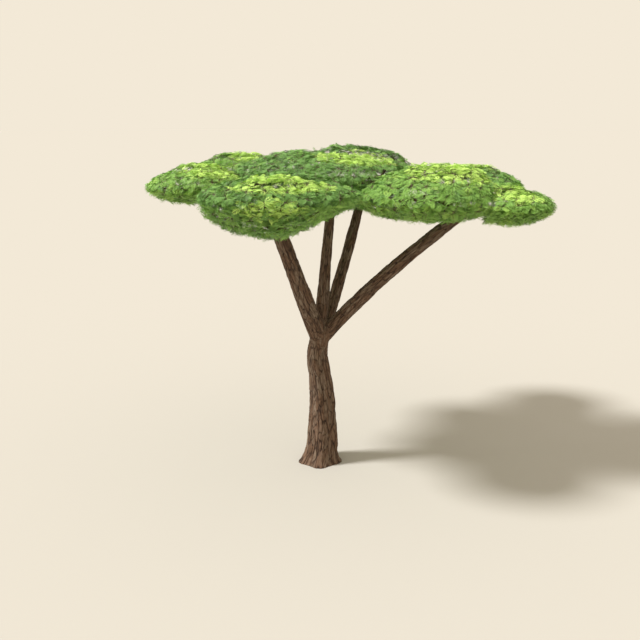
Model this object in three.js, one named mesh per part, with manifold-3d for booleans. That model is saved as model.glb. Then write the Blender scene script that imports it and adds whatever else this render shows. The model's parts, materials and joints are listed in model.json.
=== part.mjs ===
// Umbrella acacia: a stout trunk, four boughs from its fork, four limbs that go on from the boughs' tips,
// and eight masses of foliage side by side, which make one wide flat crown.
// Millimetres, +Z up. The origin is the centre of the flat cut under the trunk, at ground level. The front
// of the tree, as it is usually seen, faces -Y.
import * as THREE from "three";
import { mergeVertices } from "three/addons/utils/BufferGeometryUtils.js";
import Module from "manifold-3d";

const { CatmullRomCurve3, CylinderGeometry, IcosahedronGeometry, OctahedronGeometry } = THREE;
const { LineCurve3, QuadraticBezierCurve3, Vector3 } = THREE;
const { lerp } = THREE.MathUtils;

// The gap that every limb and mass keeps to what carries it.
const SEAT_GAP = 0.3;

// The trunk: its height to the fork, its radius at both ends, and the root flare at the ground.
const FORK_HEIGHT = 3050;
const TRUNK_FOOT_RADIUS = 372;
const TRUNK_FORK_RADIUS = 216;
const TRUNK_TAPER_POWER = 1.2;
const FLARE_WIDTH = 128;
const FLARE_HEIGHT = 110;
const TRUNK_SIDES = 15;
const TRUNK_STEPS = 13;
// Above 1, this sets the trunk's lower rings closer together, where the flare bends most.
const LOW_RINGS_CLOSER = 1.6;
// The trunk is a little fluted: so many ribs, this deep at the foot and at the fork, as shares of the
// radius, and turned by so many half turns on the way up.
const FLUTES = 5;
const FLUTE_DEPTH_FOOT = 0.085;
const FLUTE_DEPTH_FORK = 0.03;
const FLUTE_TWIST = 0.9;
// The middle of the trunk wanders as it rises: [x, y, height].
const TRUNK_MIDDLES = [
  [0, 0, 0],
  [46, 6, 330],
  [68, 34, 1000],
  [60, 24, 1580],
  [6, -22, 2110],
  [-58, -34, 2570],
  [10, 0, FORK_HEIGHT],
];

// Limbs are round, and a fork's knuckle is a ball a little wider than the limb.
const LIMB_SIDES = 8;
const LIMB_STEP = 420;
const COLLAR_STEPS = 2;
const KNUCKLE_SHARE = 1.04;
// Boughs start inside the trunk, this far under the fork.
const FORK_DEPTH = 120;

// The limbs. tip is where the limb ends, inside or just under the foliage. knee gives the bend: how far out
// and how far up, as shares of the way to the tip, the curve's control point stands. foot and end are the
// radii. collar is the length of the limb's foot that belongs to the solid which carries it.
const LIMBS = {
  bough_front_left: {
    from: "trunk", tip: [-830, -1400, 5620], knee: [0.52, 0.5], foot: 212, end: 148, collar: 620,
  },
  bough_centre: {
    from: "trunk", tip: [225, 420, 5700], knee: [0.42, 0.5], foot: 156, end: 104, collar: 700,
  },
  bough_back: {
    from: "trunk", tip: [960, 2060, 5730], knee: [0.55, 0.44], foot: 150, end: 112, collar: 700,
  },
  bough_right: {
    from: "trunk", tip: [2960, -420, 5770], knee: [0.45, 0.55], foot: 174, end: 124, collar: 620,
  },
  limb_far_left: {
    from: "bough_front_left", tip: [-2230, -330, 6030], knee: [0.5, 0.62], foot: 84, end: 52, collar: 250,
  },
  limb_back_left: {
    from: "bough_centre", tip: [-1500, 1500, 6160], knee: [0.5, 0.62], foot: 80, end: 54, collar: 220,
  },
  limb_back_right: {
    from: "bough_back", tip: [2780, 1260, 6030], knee: [0.5, 0.62], foot: 82, end: 54, collar: 220,
  },
  limb_far_right: {
    from: "bough_right", tip: [3560, -720, 5890], knee: [0.5, 0.5], foot: 76, end: 52, collar: 210,
  },
};

// The masses of foliage. Each keeps to a lens-shaped space: middle is the centre of its rim, long and wide
// are half its spread along X and Y, rise and drop are how far the lens swells above and below the rim.
// stem is the radius of the stem, and sprays how many sprays of leaves it tries to hold. Cushions are raised
// tufts of young leaves on the top: [x, y, long, wide, lift], with x and y from the middle.
const MASSES = {
  foliage_front_left: {
    on: "bough_front_left", middle: [-780, -1650, 6290], long: 1640, wide: 1420, rise: 390, drop: 890,
    stem: 98, sprays: 72, cushions: [[200, 250, 1000, 480, 110], [-90, -580, 620, 420, 110]],
  },
  foliage_far_left: {
    on: "limb_far_left", middle: [-2640, 20, 6340], long: 1110, wide: 1180, rise: 420, drop: 400,
    stem: 48, sprays: 38, cushions: [[100, 320, 760, 480, 110]],
  },
  foliage_back_left: {
    on: "limb_back_left", middle: [-1760, 1700, 6520], long: 1330, wide: 1280, rise: 440, drop: 450,
    stem: 50, sprays: 50, cushions: [[-180, 120, 700, 560, 90]],
  },
  foliage_centre: {
    on: "bough_centre", middle: [110, 900, 6480], long: 2200, wide: 1900, rise: 610, drop: 770,
    stem: 96, sprays: 114, cushions: [[1000, 480, 1150, 700, 160], [-700, -190, 620, 480, 60]],
  },
  foliage_right: {
    on: "bough_right", middle: [2300, -560, 6110], long: 1620, wide: 1480, rise: 700, drop: 470,
    stem: 80, sprays: 70, cushions: [[300, -10, 1060, 700, 110]],
  },
  foliage_far_right: {
    on: "limb_far_right", middle: [3850, -800, 6020], long: 1000, wide: 1050, rise: 380, drop: 430,
    stem: 46, sprays: 42, cushions: [[-80, 70, 520, 430, 120]],
  },
  foliage_back_right: {
    on: "limb_back_right", middle: [3400, 900, 6290], long: 1180, wide: 1250, rise: 420, drop: 410,
    stem: 50, sprays: 44, cushions: [[100, 210, 660, 520, 90]],
  },
  foliage_back: {
    on: "bough_back", middle: [1000, 2900, 6310], long: 1590, wide: 1300, rise: 470, drop: 450,
    stem: 74, sprays: 56, cushions: [[-250, 200, 760, 520, 100]],
  },
};
// How steeply a cushion's edge rises, and the power that rounds a lens from its rim to its middle.
const CUSHION_STEEPNESS = 4;
const LENS_POWER = 0.5;

// The stem goes these shares of the way, out and up, to the middle of its mass. Its collar, which belongs to
// the bough, is this many times as long as the stem's radius.
const STEM_OUT = 0.4;
const STEM_UP = 0.65;
const COLLAR_SHARE = 2;
const STEM_SIDES = 6;
const STEM_TAPER = 0.9;

// The growing rule of a mass. Its sprays are aimed at places dealt out evenly over the lens, about half of
// them on the upper skin and the rest below. The stem forks again and again, each time between two parts of
// the aims that it feeds: one part carries the twig on, and the other gets a twig of its own. The last
// stretch of a twig carries sprays.
const FIRST_SEED = 56;
const GOLDEN_ANGLE = Math.PI * (3 - Math.sqrt(5));
const AIM_REACH = 0.98;
const TOP_SHARE = 0.54;
const SKIN_DEPTH = 0.08;
const UNDER_FROM = 0.72;
const UNDER_TO = 1;
// Aims part by height where their spread in height, weighted so, is the largest.
const HEIGHT_WEIGHT = 1.4;
const TWIG_REACH = 0.6;
const LAST_REACH = 0.7;
const SPRAYS_PER_TWIG = 5;
const TWIG_END_RADIUS = 17;
const TWIG_SIDES = 3;
const TWIG_CHECKS = 6;
// A twig that would touch a limb ends this much higher instead.
const TWIG_LIFTS = [0, 110, 220];

// A spray is a flat blade from its root, on the twig, to a tip past its aim. The first of these stretches
// past the aim, and of these shares of its full width, that keeps it clear of everything is taken.
const SPRAY_STRETCHES = [1.9, 1.6, 1.3, 1];
const SPRAY_WIDTHS = [1, 0.8, 0.6];
const SPRAY_LONGEST = 900;
const SPRAY_WIDTH_SHARE = 0.88;
// Where a spray is widest, as a share of the way to its tip.
const SPRAY_BELLY = 0.64;
const SPRAY_THICKNESS = 24;
const SPRAY_TILT = 0.12;
const RIM_LEAN = 0.45;
// The first spray of a twig stands past this share of its last stretch.
const FIRST_ROOT = 0.4;
const SPRAY_CHECKS_ALONG = 8;
const SPRAY_CHECKS_ACROSS = 6;

// Room that sprays and twigs leave: to the wall before the next mass's space, and to limbs and stems.
const WALL_MARGIN = 22;
const LIMB_MARGIN = 26;
const BEAD_STEP = 50;

const BARK = new THREE.MeshStandardMaterial({ color: 0x5a4636, roughness: 0.95, metalness: 0 });
const DARK_LEAF = new THREE.MeshStandardMaterial({ color: 0x4f7a3c, roughness: 0.8, metalness: 0 });
const MID_LEAF = new THREE.MeshStandardMaterial({ color: 0x6c9642, roughness: 0.8, metalness: 0 });
const DARK_MASSES = ["foliage_front_left", "foliage_centre", "foliage_back", "foliage_back_right"];

const wasm = await Module();
wasm.setup();

// Repeatable numbers from 0 to 1.
function seeded(seed) {
  let state = seed >>> 0;
  return () => {
    state = (state + 0x6d2b79f5) >>> 0;
    let mixed = Math.imul(state ^ (state >>> 15), state | 1);
    mixed ^= mixed + Math.imul(mixed ^ (mixed >>> 7), mixed | 61);
    return ((mixed ^ (mixed >>> 14)) >>> 0) / 4294967296;
  };
}

// A closed geometry as a solid that can be joined and cut.
function solidOf(geometry) {
  const bare = geometry.clone();
  bare.deleteAttribute("normal");
  bare.deleteAttribute("uv");
  const merged = mergeVertices(bare, 1e-3);
  return new wasm.Manifold(
    new wasm.Mesh({
      numProp: 3,
      vertProperties: merged.attributes.position.array,
      triVerts: new Uint32Array(merged.index.array),
    }),
  );
}

// A solid as a geometry again. Only its largest body is kept: loose scraps and sealed hollows are dropped.
function geometryOf(solid) {
  const bodies = solid.decompose().sort((a, b) => b.volume() - a.volume());
  const mesh = bodies[0].getMesh();
  const geometry = new THREE.BufferGeometry();
  geometry.setAttribute("position", new THREE.BufferAttribute(mesh.vertProperties, mesh.numProp));
  geometry.setIndex(new THREE.BufferAttribute(mesh.triVerts, 1));
  geometry.computeVertexNormals();
  return geometry;
}

// A closed tube through rings of { middle, way, radius }: a cylinder, bent and tapered.
function tube(rings, sides) {
  const last = rings.length - 1;
  const first = rings[0].way;
  let side = new Vector3(first.y, -first.x, 0);
  if (side.length() < 1e-6) side.set(1, 0, 0);
  const frames = rings.map(({ middle, way, radius }) => {
    side = side.clone().addScaledVector(way, -side.dot(way)).normalize();
    return { middle, radius, side, over: side.clone().cross(way) };
  });
  const geometry = new CylinderGeometry(1, 1, 1, sides, last);
  const position = geometry.getAttribute("position");
  for (let i = 0; i < position.count; i++) {
    const { middle, radius, side, over } = frames[Math.round((position.getY(i) + 0.5) * last)];
    const point = middle.clone();
    point.addScaledVector(side, position.getX(i) * radius);
    point.addScaledVector(over, position.getZ(i) * radius);
    position.setXYZ(i, point.x, point.y, point.z);
  }
  return solidOf(geometry);
}

// A tube along a stretch of a curve. from and to are shares of the curve's length.
function tubeAlong(curve, from, to, footRadius, endRadius, sides, steps) {
  const rings = Array.from({ length: steps + 1 }, (_, i) => {
    const share = lerp(from, to, i / steps);
    const radius = lerp(footRadius, endRadius, i / steps);
    return { middle: curve.getPointAt(share), way: curve.getTangentAt(share), radius };
  });
  return tube(rings, sides);
}

// A tube through a few points, with a radius at each.
function tubeThrough(points, radii, sides) {
  const last = points.length - 1;
  const rings = points.map((middle, i) => {
    const way = points[Math.min(i + 1, last)].clone().sub(points[Math.max(i - 1, 0)]).normalize();
    return { middle, way, radius: radii[i] };
  });
  return tube(rings, sides);
}

// A ball that rounds a fork.
function knuckle(middle, radius) {
  return solidOf(new IcosahedronGeometry(radius, 1).translate(middle.x, middle.y, middle.z));
}

// The trunk's radius at a share of its height and an angle round it.
function trunkRadius(share, angle) {
  const taper = Math.pow(Math.max(0, 1 - share), TRUNK_TAPER_POWER);
  const round = lerp(TRUNK_FORK_RADIUS, TRUNK_FOOT_RADIUS, taper);
  const flare = FLARE_WIDTH * Math.exp((-share * FORK_HEIGHT) / FLARE_HEIGHT);
  const depth = lerp(FLUTE_DEPTH_FORK, FLUTE_DEPTH_FOOT, taper);
  return (round + flare) * (1 + depth * Math.cos(FLUTES * angle + FLUTE_TWIST * Math.PI * share));
}

// The trunk up to its fork. Every ring is level, so the cut at the ground is flat.
function trunkShaft() {
  const middles = new CatmullRomCurve3(TRUNK_MIDDLES.map((place) => new Vector3(...place)));
  const geometry = new CylinderGeometry(1, 1, 1, TRUNK_SIDES, TRUNK_STEPS);
  const position = geometry.getAttribute("position");
  for (let i = 0; i < position.count; i++) {
    const [x, y, z] = [position.getX(i), position.getY(i), position.getZ(i)];
    const middle = middles.getPoint(Math.pow(y + 0.5, LOW_RINGS_CLOSER));
    const angle = Math.atan2(x, z);
    const radius = Math.hypot(x, z) * trunkRadius(middle.z / FORK_HEIGHT, angle);
    position.setXYZ(i, middle.x + radius * Math.sin(angle), middle.y - radius * Math.cos(angle), middle.z);
  }
  return solidOf(geometry);
}

// Where everything that the named trunk or limb carries starts.
function tipOf(name) {
  return name === "trunk" ? new Vector3(0, 0, FORK_HEIGHT - FORK_DEPTH) : new Vector3(...LIMBS[name].tip);
}

// The line of a limb, from inside what carries it to its own tip.
function limbCurve(limb) {
  const start = tipOf(limb.from);
  const end = new Vector3(...limb.tip);
  const [out, up] = limb.knee;
  const knee = start.clone().lerp(end, out).setZ(lerp(start.z, end.z, up));
  return new QuadraticBezierCurve3(start, knee, end);
}

// The line of a mass's stem, from its bough's tip to the first fork of its twigs.
function stemLine(mass) {
  const seat = tipOf(mass.on);
  const middle = new Vector3(...mass.middle);
  const hub = seat.clone().lerp(middle, STEM_OUT).setZ(lerp(seat.z, middle.z, STEM_UP));
  return new LineCurve3(seat, hub);
}

// A limb in two solids that meet at a flat cut: its collar, which belongs to what carries it, and the rest.
function limbSolids(limb) {
  const curve = limbCurve(limb);
  const length = curve.getLength();
  const cut = limb.collar / length;
  const seat = (limb.collar + SEAT_GAP) / length;
  const cutRadius = lerp(limb.foot, limb.end, cut);
  const steps = Math.max(COLLAR_STEPS, Math.round((length - limb.collar) / LIMB_STEP));
  return {
    collar: tubeAlong(curve, 0, cut, limb.foot, cutRadius, LIMB_SIDES, COLLAR_STEPS),
    shaft: tubeAlong(curve, seat, 1, cutRadius, limb.end, LIMB_SIDES, steps),
  };
}

// Points along a curve with its radius there, for keeping twigs and sprays clear of it.
function beadsAlong(curve, foot, end) {
  const count = Math.ceil(curve.getLength() / BEAD_STEP);
  return Array.from({ length: count + 1 }, (_, i) => {
    return { middle: curve.getPointAt(i / count), radius: lerp(foot, end, i / count) };
  });
}

// The same for a mass's stem. All but the collar of the stem is the mass's own.
function stemBeads(mass) {
  const stem = stemLine(mass);
  return beadsAlong(stem, mass.stem, mass.stem).map((bead) => {
    const isCollar = bead.middle.distanceTo(stem.v1) <= COLLAR_SHARE * mass.stem;
    return { ...bead, owner: isCollar ? null : mass };
  });
}

// The height of a mass's upper and lower skin over a place on the plan, and how far out in the lens it is.
function skins(mass, x, y) {
  const [right, back] = [x - mass.middle[0], y - mass.middle[1]];
  const out = Math.min(1, Math.hypot(right / mass.long, back / mass.wide));
  const dome = Math.pow(1 - out * out, LENS_POWER);
  let lift = 0;
  for (const [cushionRight, cushionBack, long, wide, high] of mass.cushions) {
    const edge = Math.hypot((right - cushionRight) / long, (back - cushionBack) / wide);
    lift = Math.max(lift, high * Math.min(1, CUSHION_STEEPNESS * (1 - edge)));
  }
  const rim = mass.middle[2];
  const top = rim + mass.rise * dome + Math.min(1, 2 * dome) * lift;
  return { out, top, bottom: rim - mass.drop * dome };
}

// How far a place lies on its own mass's side of the wall between that mass and another. Where two lenses
// would run into each other, the wall is the upright plane through the crossing of their rims.
function wallRoom(mass, other, x, y) {
  const [ax, ay] = mass.middle;
  const [bx, by] = other.middle;
  const own = (x - ax) ** 2 + (y - ay) ** 2 - mass.long * mass.wide;
  const others = (x - bx) ** 2 + (y - by) ** 2 - other.long * other.wide;
  return (others - own) / (2 * Math.hypot(bx - ax, by - ay));
}

// Whether a point lies in a mass's own space, this far inside its walls.
function holds(mass, point, margin = WALL_MARGIN) {
  const { out, top, bottom } = skins(mass, point.x, point.y);
  if (out >= 1 || point.z > top || point.z < bottom) return false;
  return Object.values(MASSES).every(
    (other) => other === mass || wallRoom(mass, other, point.x, point.y) > margin,
  );
}

// The places that a mass's sprays are aimed at: an even spiral on the plan, on the upper skin or under it.
function sprayAims(mass, random) {
  const aims = [];
  for (let i = 0; i < mass.sprays; i++) {
    const out = AIM_REACH * Math.sqrt((i + 0.5) / mass.sprays);
    const turn = i * GOLDEN_ANGLE;
    const x = mass.middle[0] + mass.long * out * Math.cos(turn);
    const y = mass.middle[1] + mass.wide * out * Math.sin(turn);
    const { top, bottom } = skins(mass, x, y);
    const depth = random() < TOP_SHARE ? SKIN_DEPTH * random() : lerp(UNDER_FROM, UNDER_TO, random());
    const aim = new Vector3(x, y, lerp(top, bottom, depth));
    if (holds(mass, aim)) aims.push(aim);
  }
  return aims;
}

// The middle of a list of points.
function middleOf(points) {
  return points.reduce((sum, point) => sum.add(point), new Vector3()).divideScalar(points.length);
}

// The points in two parts, across the way in which they spread most.
function parted(points) {
  const spread = new THREE.Box3().setFromPoints(points).getSize(new Vector3());
  spread.z *= HEIGHT_WEIGHT;
  const axis = ["x", "y", "z"].reduce((widest, next) => (spread[next] > spread[widest] ? next : widest));
  const cut = middleOf(points)[axis];
  return [points.filter((point) => point[axis] < cut), points.filter((point) => point[axis] >= cut)];
}

// The upward direction of a mass's skin over a place, softened so that sprays lie fairly flat at the rim.
function skinNormal(mass, point) {
  const lean = point.z < mass.middle[2] ? -RIM_LEAN : RIM_LEAN;
  return new Vector3(
    (lean * (point.x - mass.middle[0])) / mass.long,
    (lean * (point.y - mass.middle[1])) / mass.wide,
    1,
  );
}

// The place that a spray's tip reaches: past its aim, as deep under the skin as the aim is.
function tipPast(mass, root, aim, stretch) {
  const tip = root.clone().lerp(aim, stretch);
  const at = skins(mass, aim.x, aim.y);
  const past = skins(mass, tip.x, tip.y);
  return tip.setZ(lerp(past.top, past.bottom, (at.top - aim.z) / (at.top - at.bottom)));
}

// Places all over a blade, for testing that it keeps clear.
function bladePlaces({ root, tip, side, width }) {
  const places = [tip];
  for (let step = 1; step < SPRAY_CHECKS_ALONG; step++) {
    const along = step / SPRAY_CHECKS_ALONG;
    const middle = root.clone().lerp(tip, along);
    const spread = width * Math.min(along / SPRAY_BELLY, (1 - along) / (1 - SPRAY_BELLY));
    for (let across = 0; across <= SPRAY_CHECKS_ACROSS; across++) {
      places.push(middle.clone().addScaledVector(side, spread * (across / SPRAY_CHECKS_ACROSS - 0.5)));
    }
  }
  return places;
}

// A blade: a flat kite of eight faces, widest past its middle.
function bladeSolid({ root, along, side, length, width }) {
  const geometry = new OctahedronGeometry(0.5, 0);
  const position = geometry.getAttribute("position");
  for (let i = 0; i < position.count; i++) {
    const isMiddle = Math.abs(position.getX(i)) < 0.25;
    position.setX(i, isMiddle ? SPRAY_BELLY : position.getX(i) + 0.5);
  }
  geometry.scale(length, width, SPRAY_THICKNESS);
  const up = along.clone().cross(side);
  geometry.applyMatrix4(new THREE.Matrix4().makeBasis(along, side, up).setPosition(root));
  return solidOf(geometry);
}

// A spray from its root, on a twig, past its aim. Null where no size of it keeps to its mass's space.
function sprayAt(mass, root, aim, random, isFree) {
  const tilt = new Vector3(random() - 0.5, random() - 0.5, 0).multiplyScalar(2 * SPRAY_TILT);
  const isClear = (place) => holds(mass, place) && isFree(place, 0);
  for (const stretch of SPRAY_STRETCHES) {
    const tip = tipPast(mass, root, aim, stretch);
    const length = root.distanceTo(tip);
    if (length > SPRAY_LONGEST && stretch > 1) continue;
    const along = tip.clone().sub(root).normalize();
    const side = skinNormal(mass, aim).add(tilt).cross(along).normalize();
    for (const share of SPRAY_WIDTHS) {
      const blade = { root, tip, along, side, length, width: length * SPRAY_WIDTH_SHARE * share };
      if (bladePlaces(blade).every(isClear)) return bladeSolid(blade);
    }
  }
  return null;
}

// A mass of foliage in two solids: the collar of its stem, which belongs to its bough, and the mass itself.
function massSolids(mass, beads, seed) {
  const random = seeded(seed);
  const aims = sprayAims(mass, random);
  const stem = stemLine(mass);
  const hub = stem.getPoint(1);
  const hubRadius = mass.stem * STEM_TAPER;
  const cut = (COLLAR_SHARE * mass.stem) / stem.getLength();
  const seat = cut + SEAT_GAP / stem.getLength();
  const pieces = [tubeAlong(stem, seat, 1, mass.stem, hubRadius, STEM_SIDES, 1)];

  const radiusFor = (load) => Math.max(TWIG_END_RADIUS, hubRadius * Math.sqrt(load / aims.length));
  const near = beads.filter((bead) => bead.owner !== mass);
  const isFree = (point, radius) =>
    near.every((bead) => bead.middle.distanceTo(point) > bead.radius + radius + LIMB_MARGIN);

  // Where a twig may end: at the given place, or a little over it where something is in the way.
  function freeEnd(from, to, radius) {
    const isClear = (point) => isFree(point, radius) && holds(mass, point, WALL_MARGIN + radius);
    return TWIG_LIFTS.map((lift) => to.clone().setZ(to.z + lift)).find((end) => {
      const shares = Array.from({ length: TWIG_CHECKS }, (_, i) => (i + 1) / TWIG_CHECKS);
      return shares.every((share) => isClear(from.clone().lerp(end, share)));
    });
  }

  // Grows the twig that feeds these aims, with the twigs that leave it and the sprays on its last stretch.
  function grow(start, aimsFed) {
    const points = [start];
    const radii = [radiusFor(aimsFed.length)];
    const leaving = [];
    let fed = aimsFed;
    while (fed.length > SPRAYS_PER_TWIG) {
      const from = points.at(-1);
      const fork = freeEnd(from, from.clone().lerp(middleOf(fed), TWIG_REACH), radii.at(-1));
      if (!fork) break;
      const way = fork.clone().sub(from);
      const straightness = (part) => middleOf(part).sub(fork).normalize().dot(way);
      const [aside, ahead] = parted(fed).sort((a, b) => straightness(a) - straightness(b));
      points.push(fork);
      radii.push(radiusFor((fed.length + ahead.length) / 2));
      leaving.push([fork, aside]);
      fed = ahead;
    }
    const from = points.at(-1);
    const end = freeEnd(from, from.clone().lerp(middleOf(fed), LAST_REACH), TWIG_END_RADIUS);
    if (end) {
      points.push(end);
      radii.push(TWIG_END_RADIUS);
      const way = end.clone().sub(from);
      const byReach = [...fed].sort((a, b) => a.clone().sub(b).dot(way));
      byReach.forEach((aim, i) => {
        const root = from.clone().lerp(end, lerp(FIRST_ROOT, 1, (i + 1) / fed.length));
        const spray = sprayAt(mass, root, aim, random, isFree);
        if (spray) pieces.push(spray);
      });
    }
    if (points.length > 1) pieces.push(tubeThrough(points, radii, TWIG_SIDES));
    leaving.forEach(([fork, part]) => grow(fork, part));
  }

  parted(aims).forEach((part) => grow(hub, part));
  const collar = tubeAlong(stem, 0, cut, mass.stem, mass.stem, STEM_SIDES, 1);
  return { collar, body: wasm.Manifold.union(pieces) };
}

const tree = new THREE.Group();

function addNode(name, solid, material) {
  const mesh = new THREE.Mesh(geometryOf(solid), material);
  mesh.name = name;
  tree.add(mesh);
}

const shafts = { trunk: trunkShaft() };
const fork = new Vector3(...TRUNK_MIDDLES.at(-1));
const carried = { trunk: [knuckle(fork, TRUNK_FORK_RADIUS * KNUCKLE_SHARE)] };
for (const [name, limb] of Object.entries(LIMBS)) {
  const { collar, shaft } = limbSolids(limb);
  shafts[name] = shaft;
  carried[name] = [knuckle(tipOf(name), limb.end * KNUCKLE_SHARE)];
  carried[limb.from].push(collar);
}

const beads = [
  ...Object.values(LIMBS).flatMap((limb) => beadsAlong(limbCurve(limb), limb.foot, limb.end)),
  ...Object.values(MASSES).flatMap(stemBeads),
];
Object.entries(MASSES).forEach(([name, mass], i) => {
  const { collar, body } = massSolids(mass, beads, FIRST_SEED + i);
  carried[mass.on].push(collar);
  addNode(name, body, DARK_MASSES.includes(name) ? DARK_LEAF : MID_LEAF);
});
for (const [name, shaft] of Object.entries(shafts)) {
  addNode(name, wasm.Manifold.union([shaft, ...carried[name]]), BARK);
}

export default tree;
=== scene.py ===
"""Umbrella acacia: bark over its trunk and boughs, and twigs and leaves grown in each mass of foliage.

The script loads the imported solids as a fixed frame, in metres, with the origin at the centre of the flat
cut under the trunk. It grows each mass of foliage by the same rule as its solid, carried on to finer twigs
and to leaves.
"""

import json
import logging
import math
from dataclasses import dataclass, field
from enum import Enum

import bmesh
import bpy
import numpy as np
from bpy.types import Collection, Material, Mesh, Node, NodeSocket, NodeTree, Object
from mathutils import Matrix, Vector, noise
from numpy import ndarray

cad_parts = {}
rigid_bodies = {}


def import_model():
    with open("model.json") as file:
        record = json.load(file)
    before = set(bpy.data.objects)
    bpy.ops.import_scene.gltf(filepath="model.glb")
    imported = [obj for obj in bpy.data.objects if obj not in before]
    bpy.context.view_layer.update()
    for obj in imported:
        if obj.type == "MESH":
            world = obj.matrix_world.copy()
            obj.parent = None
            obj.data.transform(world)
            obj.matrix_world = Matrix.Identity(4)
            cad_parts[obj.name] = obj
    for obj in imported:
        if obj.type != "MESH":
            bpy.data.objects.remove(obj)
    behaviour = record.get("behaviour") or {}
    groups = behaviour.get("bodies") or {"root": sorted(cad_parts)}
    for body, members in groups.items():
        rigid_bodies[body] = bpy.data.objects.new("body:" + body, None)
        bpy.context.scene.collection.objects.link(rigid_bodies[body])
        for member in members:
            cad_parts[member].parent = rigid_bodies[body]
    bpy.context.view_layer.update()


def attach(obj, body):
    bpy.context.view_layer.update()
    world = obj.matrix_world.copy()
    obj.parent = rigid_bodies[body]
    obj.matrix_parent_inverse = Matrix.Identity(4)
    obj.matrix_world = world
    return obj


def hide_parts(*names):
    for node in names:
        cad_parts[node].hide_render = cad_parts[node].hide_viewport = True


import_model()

LOG = logging.getLogger("acacia")
GOLDEN_ANGLE = math.pi * (3 - math.sqrt(5))
UP = np.array([0.0, 0.0, 1.0])
LEAST_LENGTH = 1e-9
LEAST_GAP = 1e-6
LEAF_SEED = 100
THORN_SEED = 200


class Tone(Enum):
    """The greens that the sprays of leaves are dealt out in, from shaded old leaves to the palest, which is
    painted sunlight on the tufts.
    """

    DEEP = 0
    DARK = 1
    MID = 2
    FRESH = 3
    # The palest green, painted sunlight on the tufts.
    YOUNG = 4


class LeafForm(Enum):
    """How far open a leaf holds its pinnae: pairs of pinnae, their spread in degrees, fold and droop."""

    OPEN = (5, 64, 0.10, 0.16)
    RAISED = (5, 56, 0.26, 0.05)
    NODDING = (5, 60, 0.04, 0.34)


def unit(vectors: ndarray) -> ndarray:
    """Scales a vector, or rows of vectors, to length one."""
    return vectors / np.maximum(np.linalg.norm(vectors, axis=-1, keepdims=True), LEAST_LENGTH)


def lengths_along(points: ndarray) -> ndarray:
    """Measures how far each place of a line is from its start."""
    return np.concatenate([[0.0], np.cumsum(np.linalg.norm(np.diff(points, axis=0), axis=1))])


def linear(hexadecimal: int) -> tuple[float, float, float, float]:
    """Turns a screen colour, as 0xRRGGBB, into linear red, green and blue, with full alpha."""
    shares = [((hexadecimal >> shift) & 255) / 255 for shift in (16, 8, 0)]
    return (*[s / 12.92 if s <= 0.04045 else ((s + 0.055) / 1.055) ** 2.4 for s in shares], 1.0)


def mesh_object(name: str, points: ndarray, faces: list, edges: list | None = None) -> Object:
    """Makes an object from points and faces, and links it to the scene.

    Args:
        name: The object's name.
        points: Rows of places in metres.
        faces: Tuples of point numbers.
        edges: Pairs of point numbers, where the mesh is made of lines.

    Returns:
        The new object.
    """
    mesh = bpy.data.meshes.new(name)
    mesh.from_pydata([tuple(p) for p in points], edges or [], faces)
    mesh.update()
    made = bpy.data.objects.new(name, mesh)
    bpy.context.scene.collection.objects.link(made)
    return made


def settled(maker: Object, name: str) -> Object:
    """Turns the result of an object's modifiers into a plain mesh object, and removes the first object.

    Args:
        maker: The object whose modifiers are live.
        name: The name of the plain object.

    Returns:
        An object with a plain mesh and no modifier.
    """
    graph = bpy.context.evaluated_depsgraph_get()
    graph.update()
    mesh = bpy.data.meshes.new_from_object(maker.evaluated_get(graph))
    mesh.name = name
    bpy.data.objects.remove(maker)
    made = bpy.data.objects.new(name, mesh)
    bpy.context.scene.collection.objects.link(made)
    return made


def joined(parts: list, name: str) -> Object:
    """Joins plain mesh objects into one.

    Args:
        parts: The objects, which all use one material.
        name: The name of the joined object.

    Returns:
        The joined object.
    """
    bpy.ops.object.select_all(action="DESELECT")
    for part in parts:
        part.select_set(True)
    bpy.context.view_layer.objects.active = parts[0]
    if len(parts) > 1:
        bpy.ops.object.join()
    parts[0].name = parts[0].data.name = name
    return parts[0]


def coordinates(mesh: Mesh) -> ndarray:
    """Reads the places of a mesh's points, as rows."""
    places = np.empty(len(mesh.vertices) * 3)
    mesh.vertices.foreach_get("co", places)
    return places.reshape(-1, 3)


def move_points(mesh: Mesh, places: ndarray) -> None:
    """Moves a mesh's points to these places, given as rows."""
    mesh.vertices.foreach_set("co", places.ravel())
    mesh.update()


def keep_on_points(mesh: Mesh, name: str, kind: str, values: ndarray) -> None:
    """Keeps a value on each point of a mesh, as an attribute.

    Args:
        mesh: The mesh.
        name: The attribute's name.
        kind: Its data type.
        values: A number or a row for each point.
    """
    slot = "vector" if kind == "FLOAT_VECTOR" else "value"
    mesh.attributes.new(name, kind, "POINT").data.foreach_set(slot, np.ravel(values))


class NodeMaker:
    """Adds nodes to a tree."""

    def __init__(self, tree: NodeTree) -> None:
        """Starts on a tree."""
        self.tree = tree

    def feed(self, socket: NodeSocket, value: object) -> None:
        """Gives a socket what it takes in.

        Args:
            socket: The input.
            value: Another node's output, or a value.
        """
        if isinstance(value, NodeSocket):
            self.tree.links.new(value, socket)
        else:
            socket.default_value = value

    def add(self, kind: str, sockets: dict | None = None, **settings: object) -> Node:
        """Adds a node.

        Args:
            kind: The node's type.
            sockets: What goes into its inputs, by their names or numbers.
            settings: The node's own settings.

        Returns:
            The new node.
        """
        node = self.tree.nodes.new(kind)
        for key, value in settings.items():
            setattr(node, key, value)
        for key, value in (sockets or {}).items():
            self.feed(node.inputs[key], value)
        return node


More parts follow.
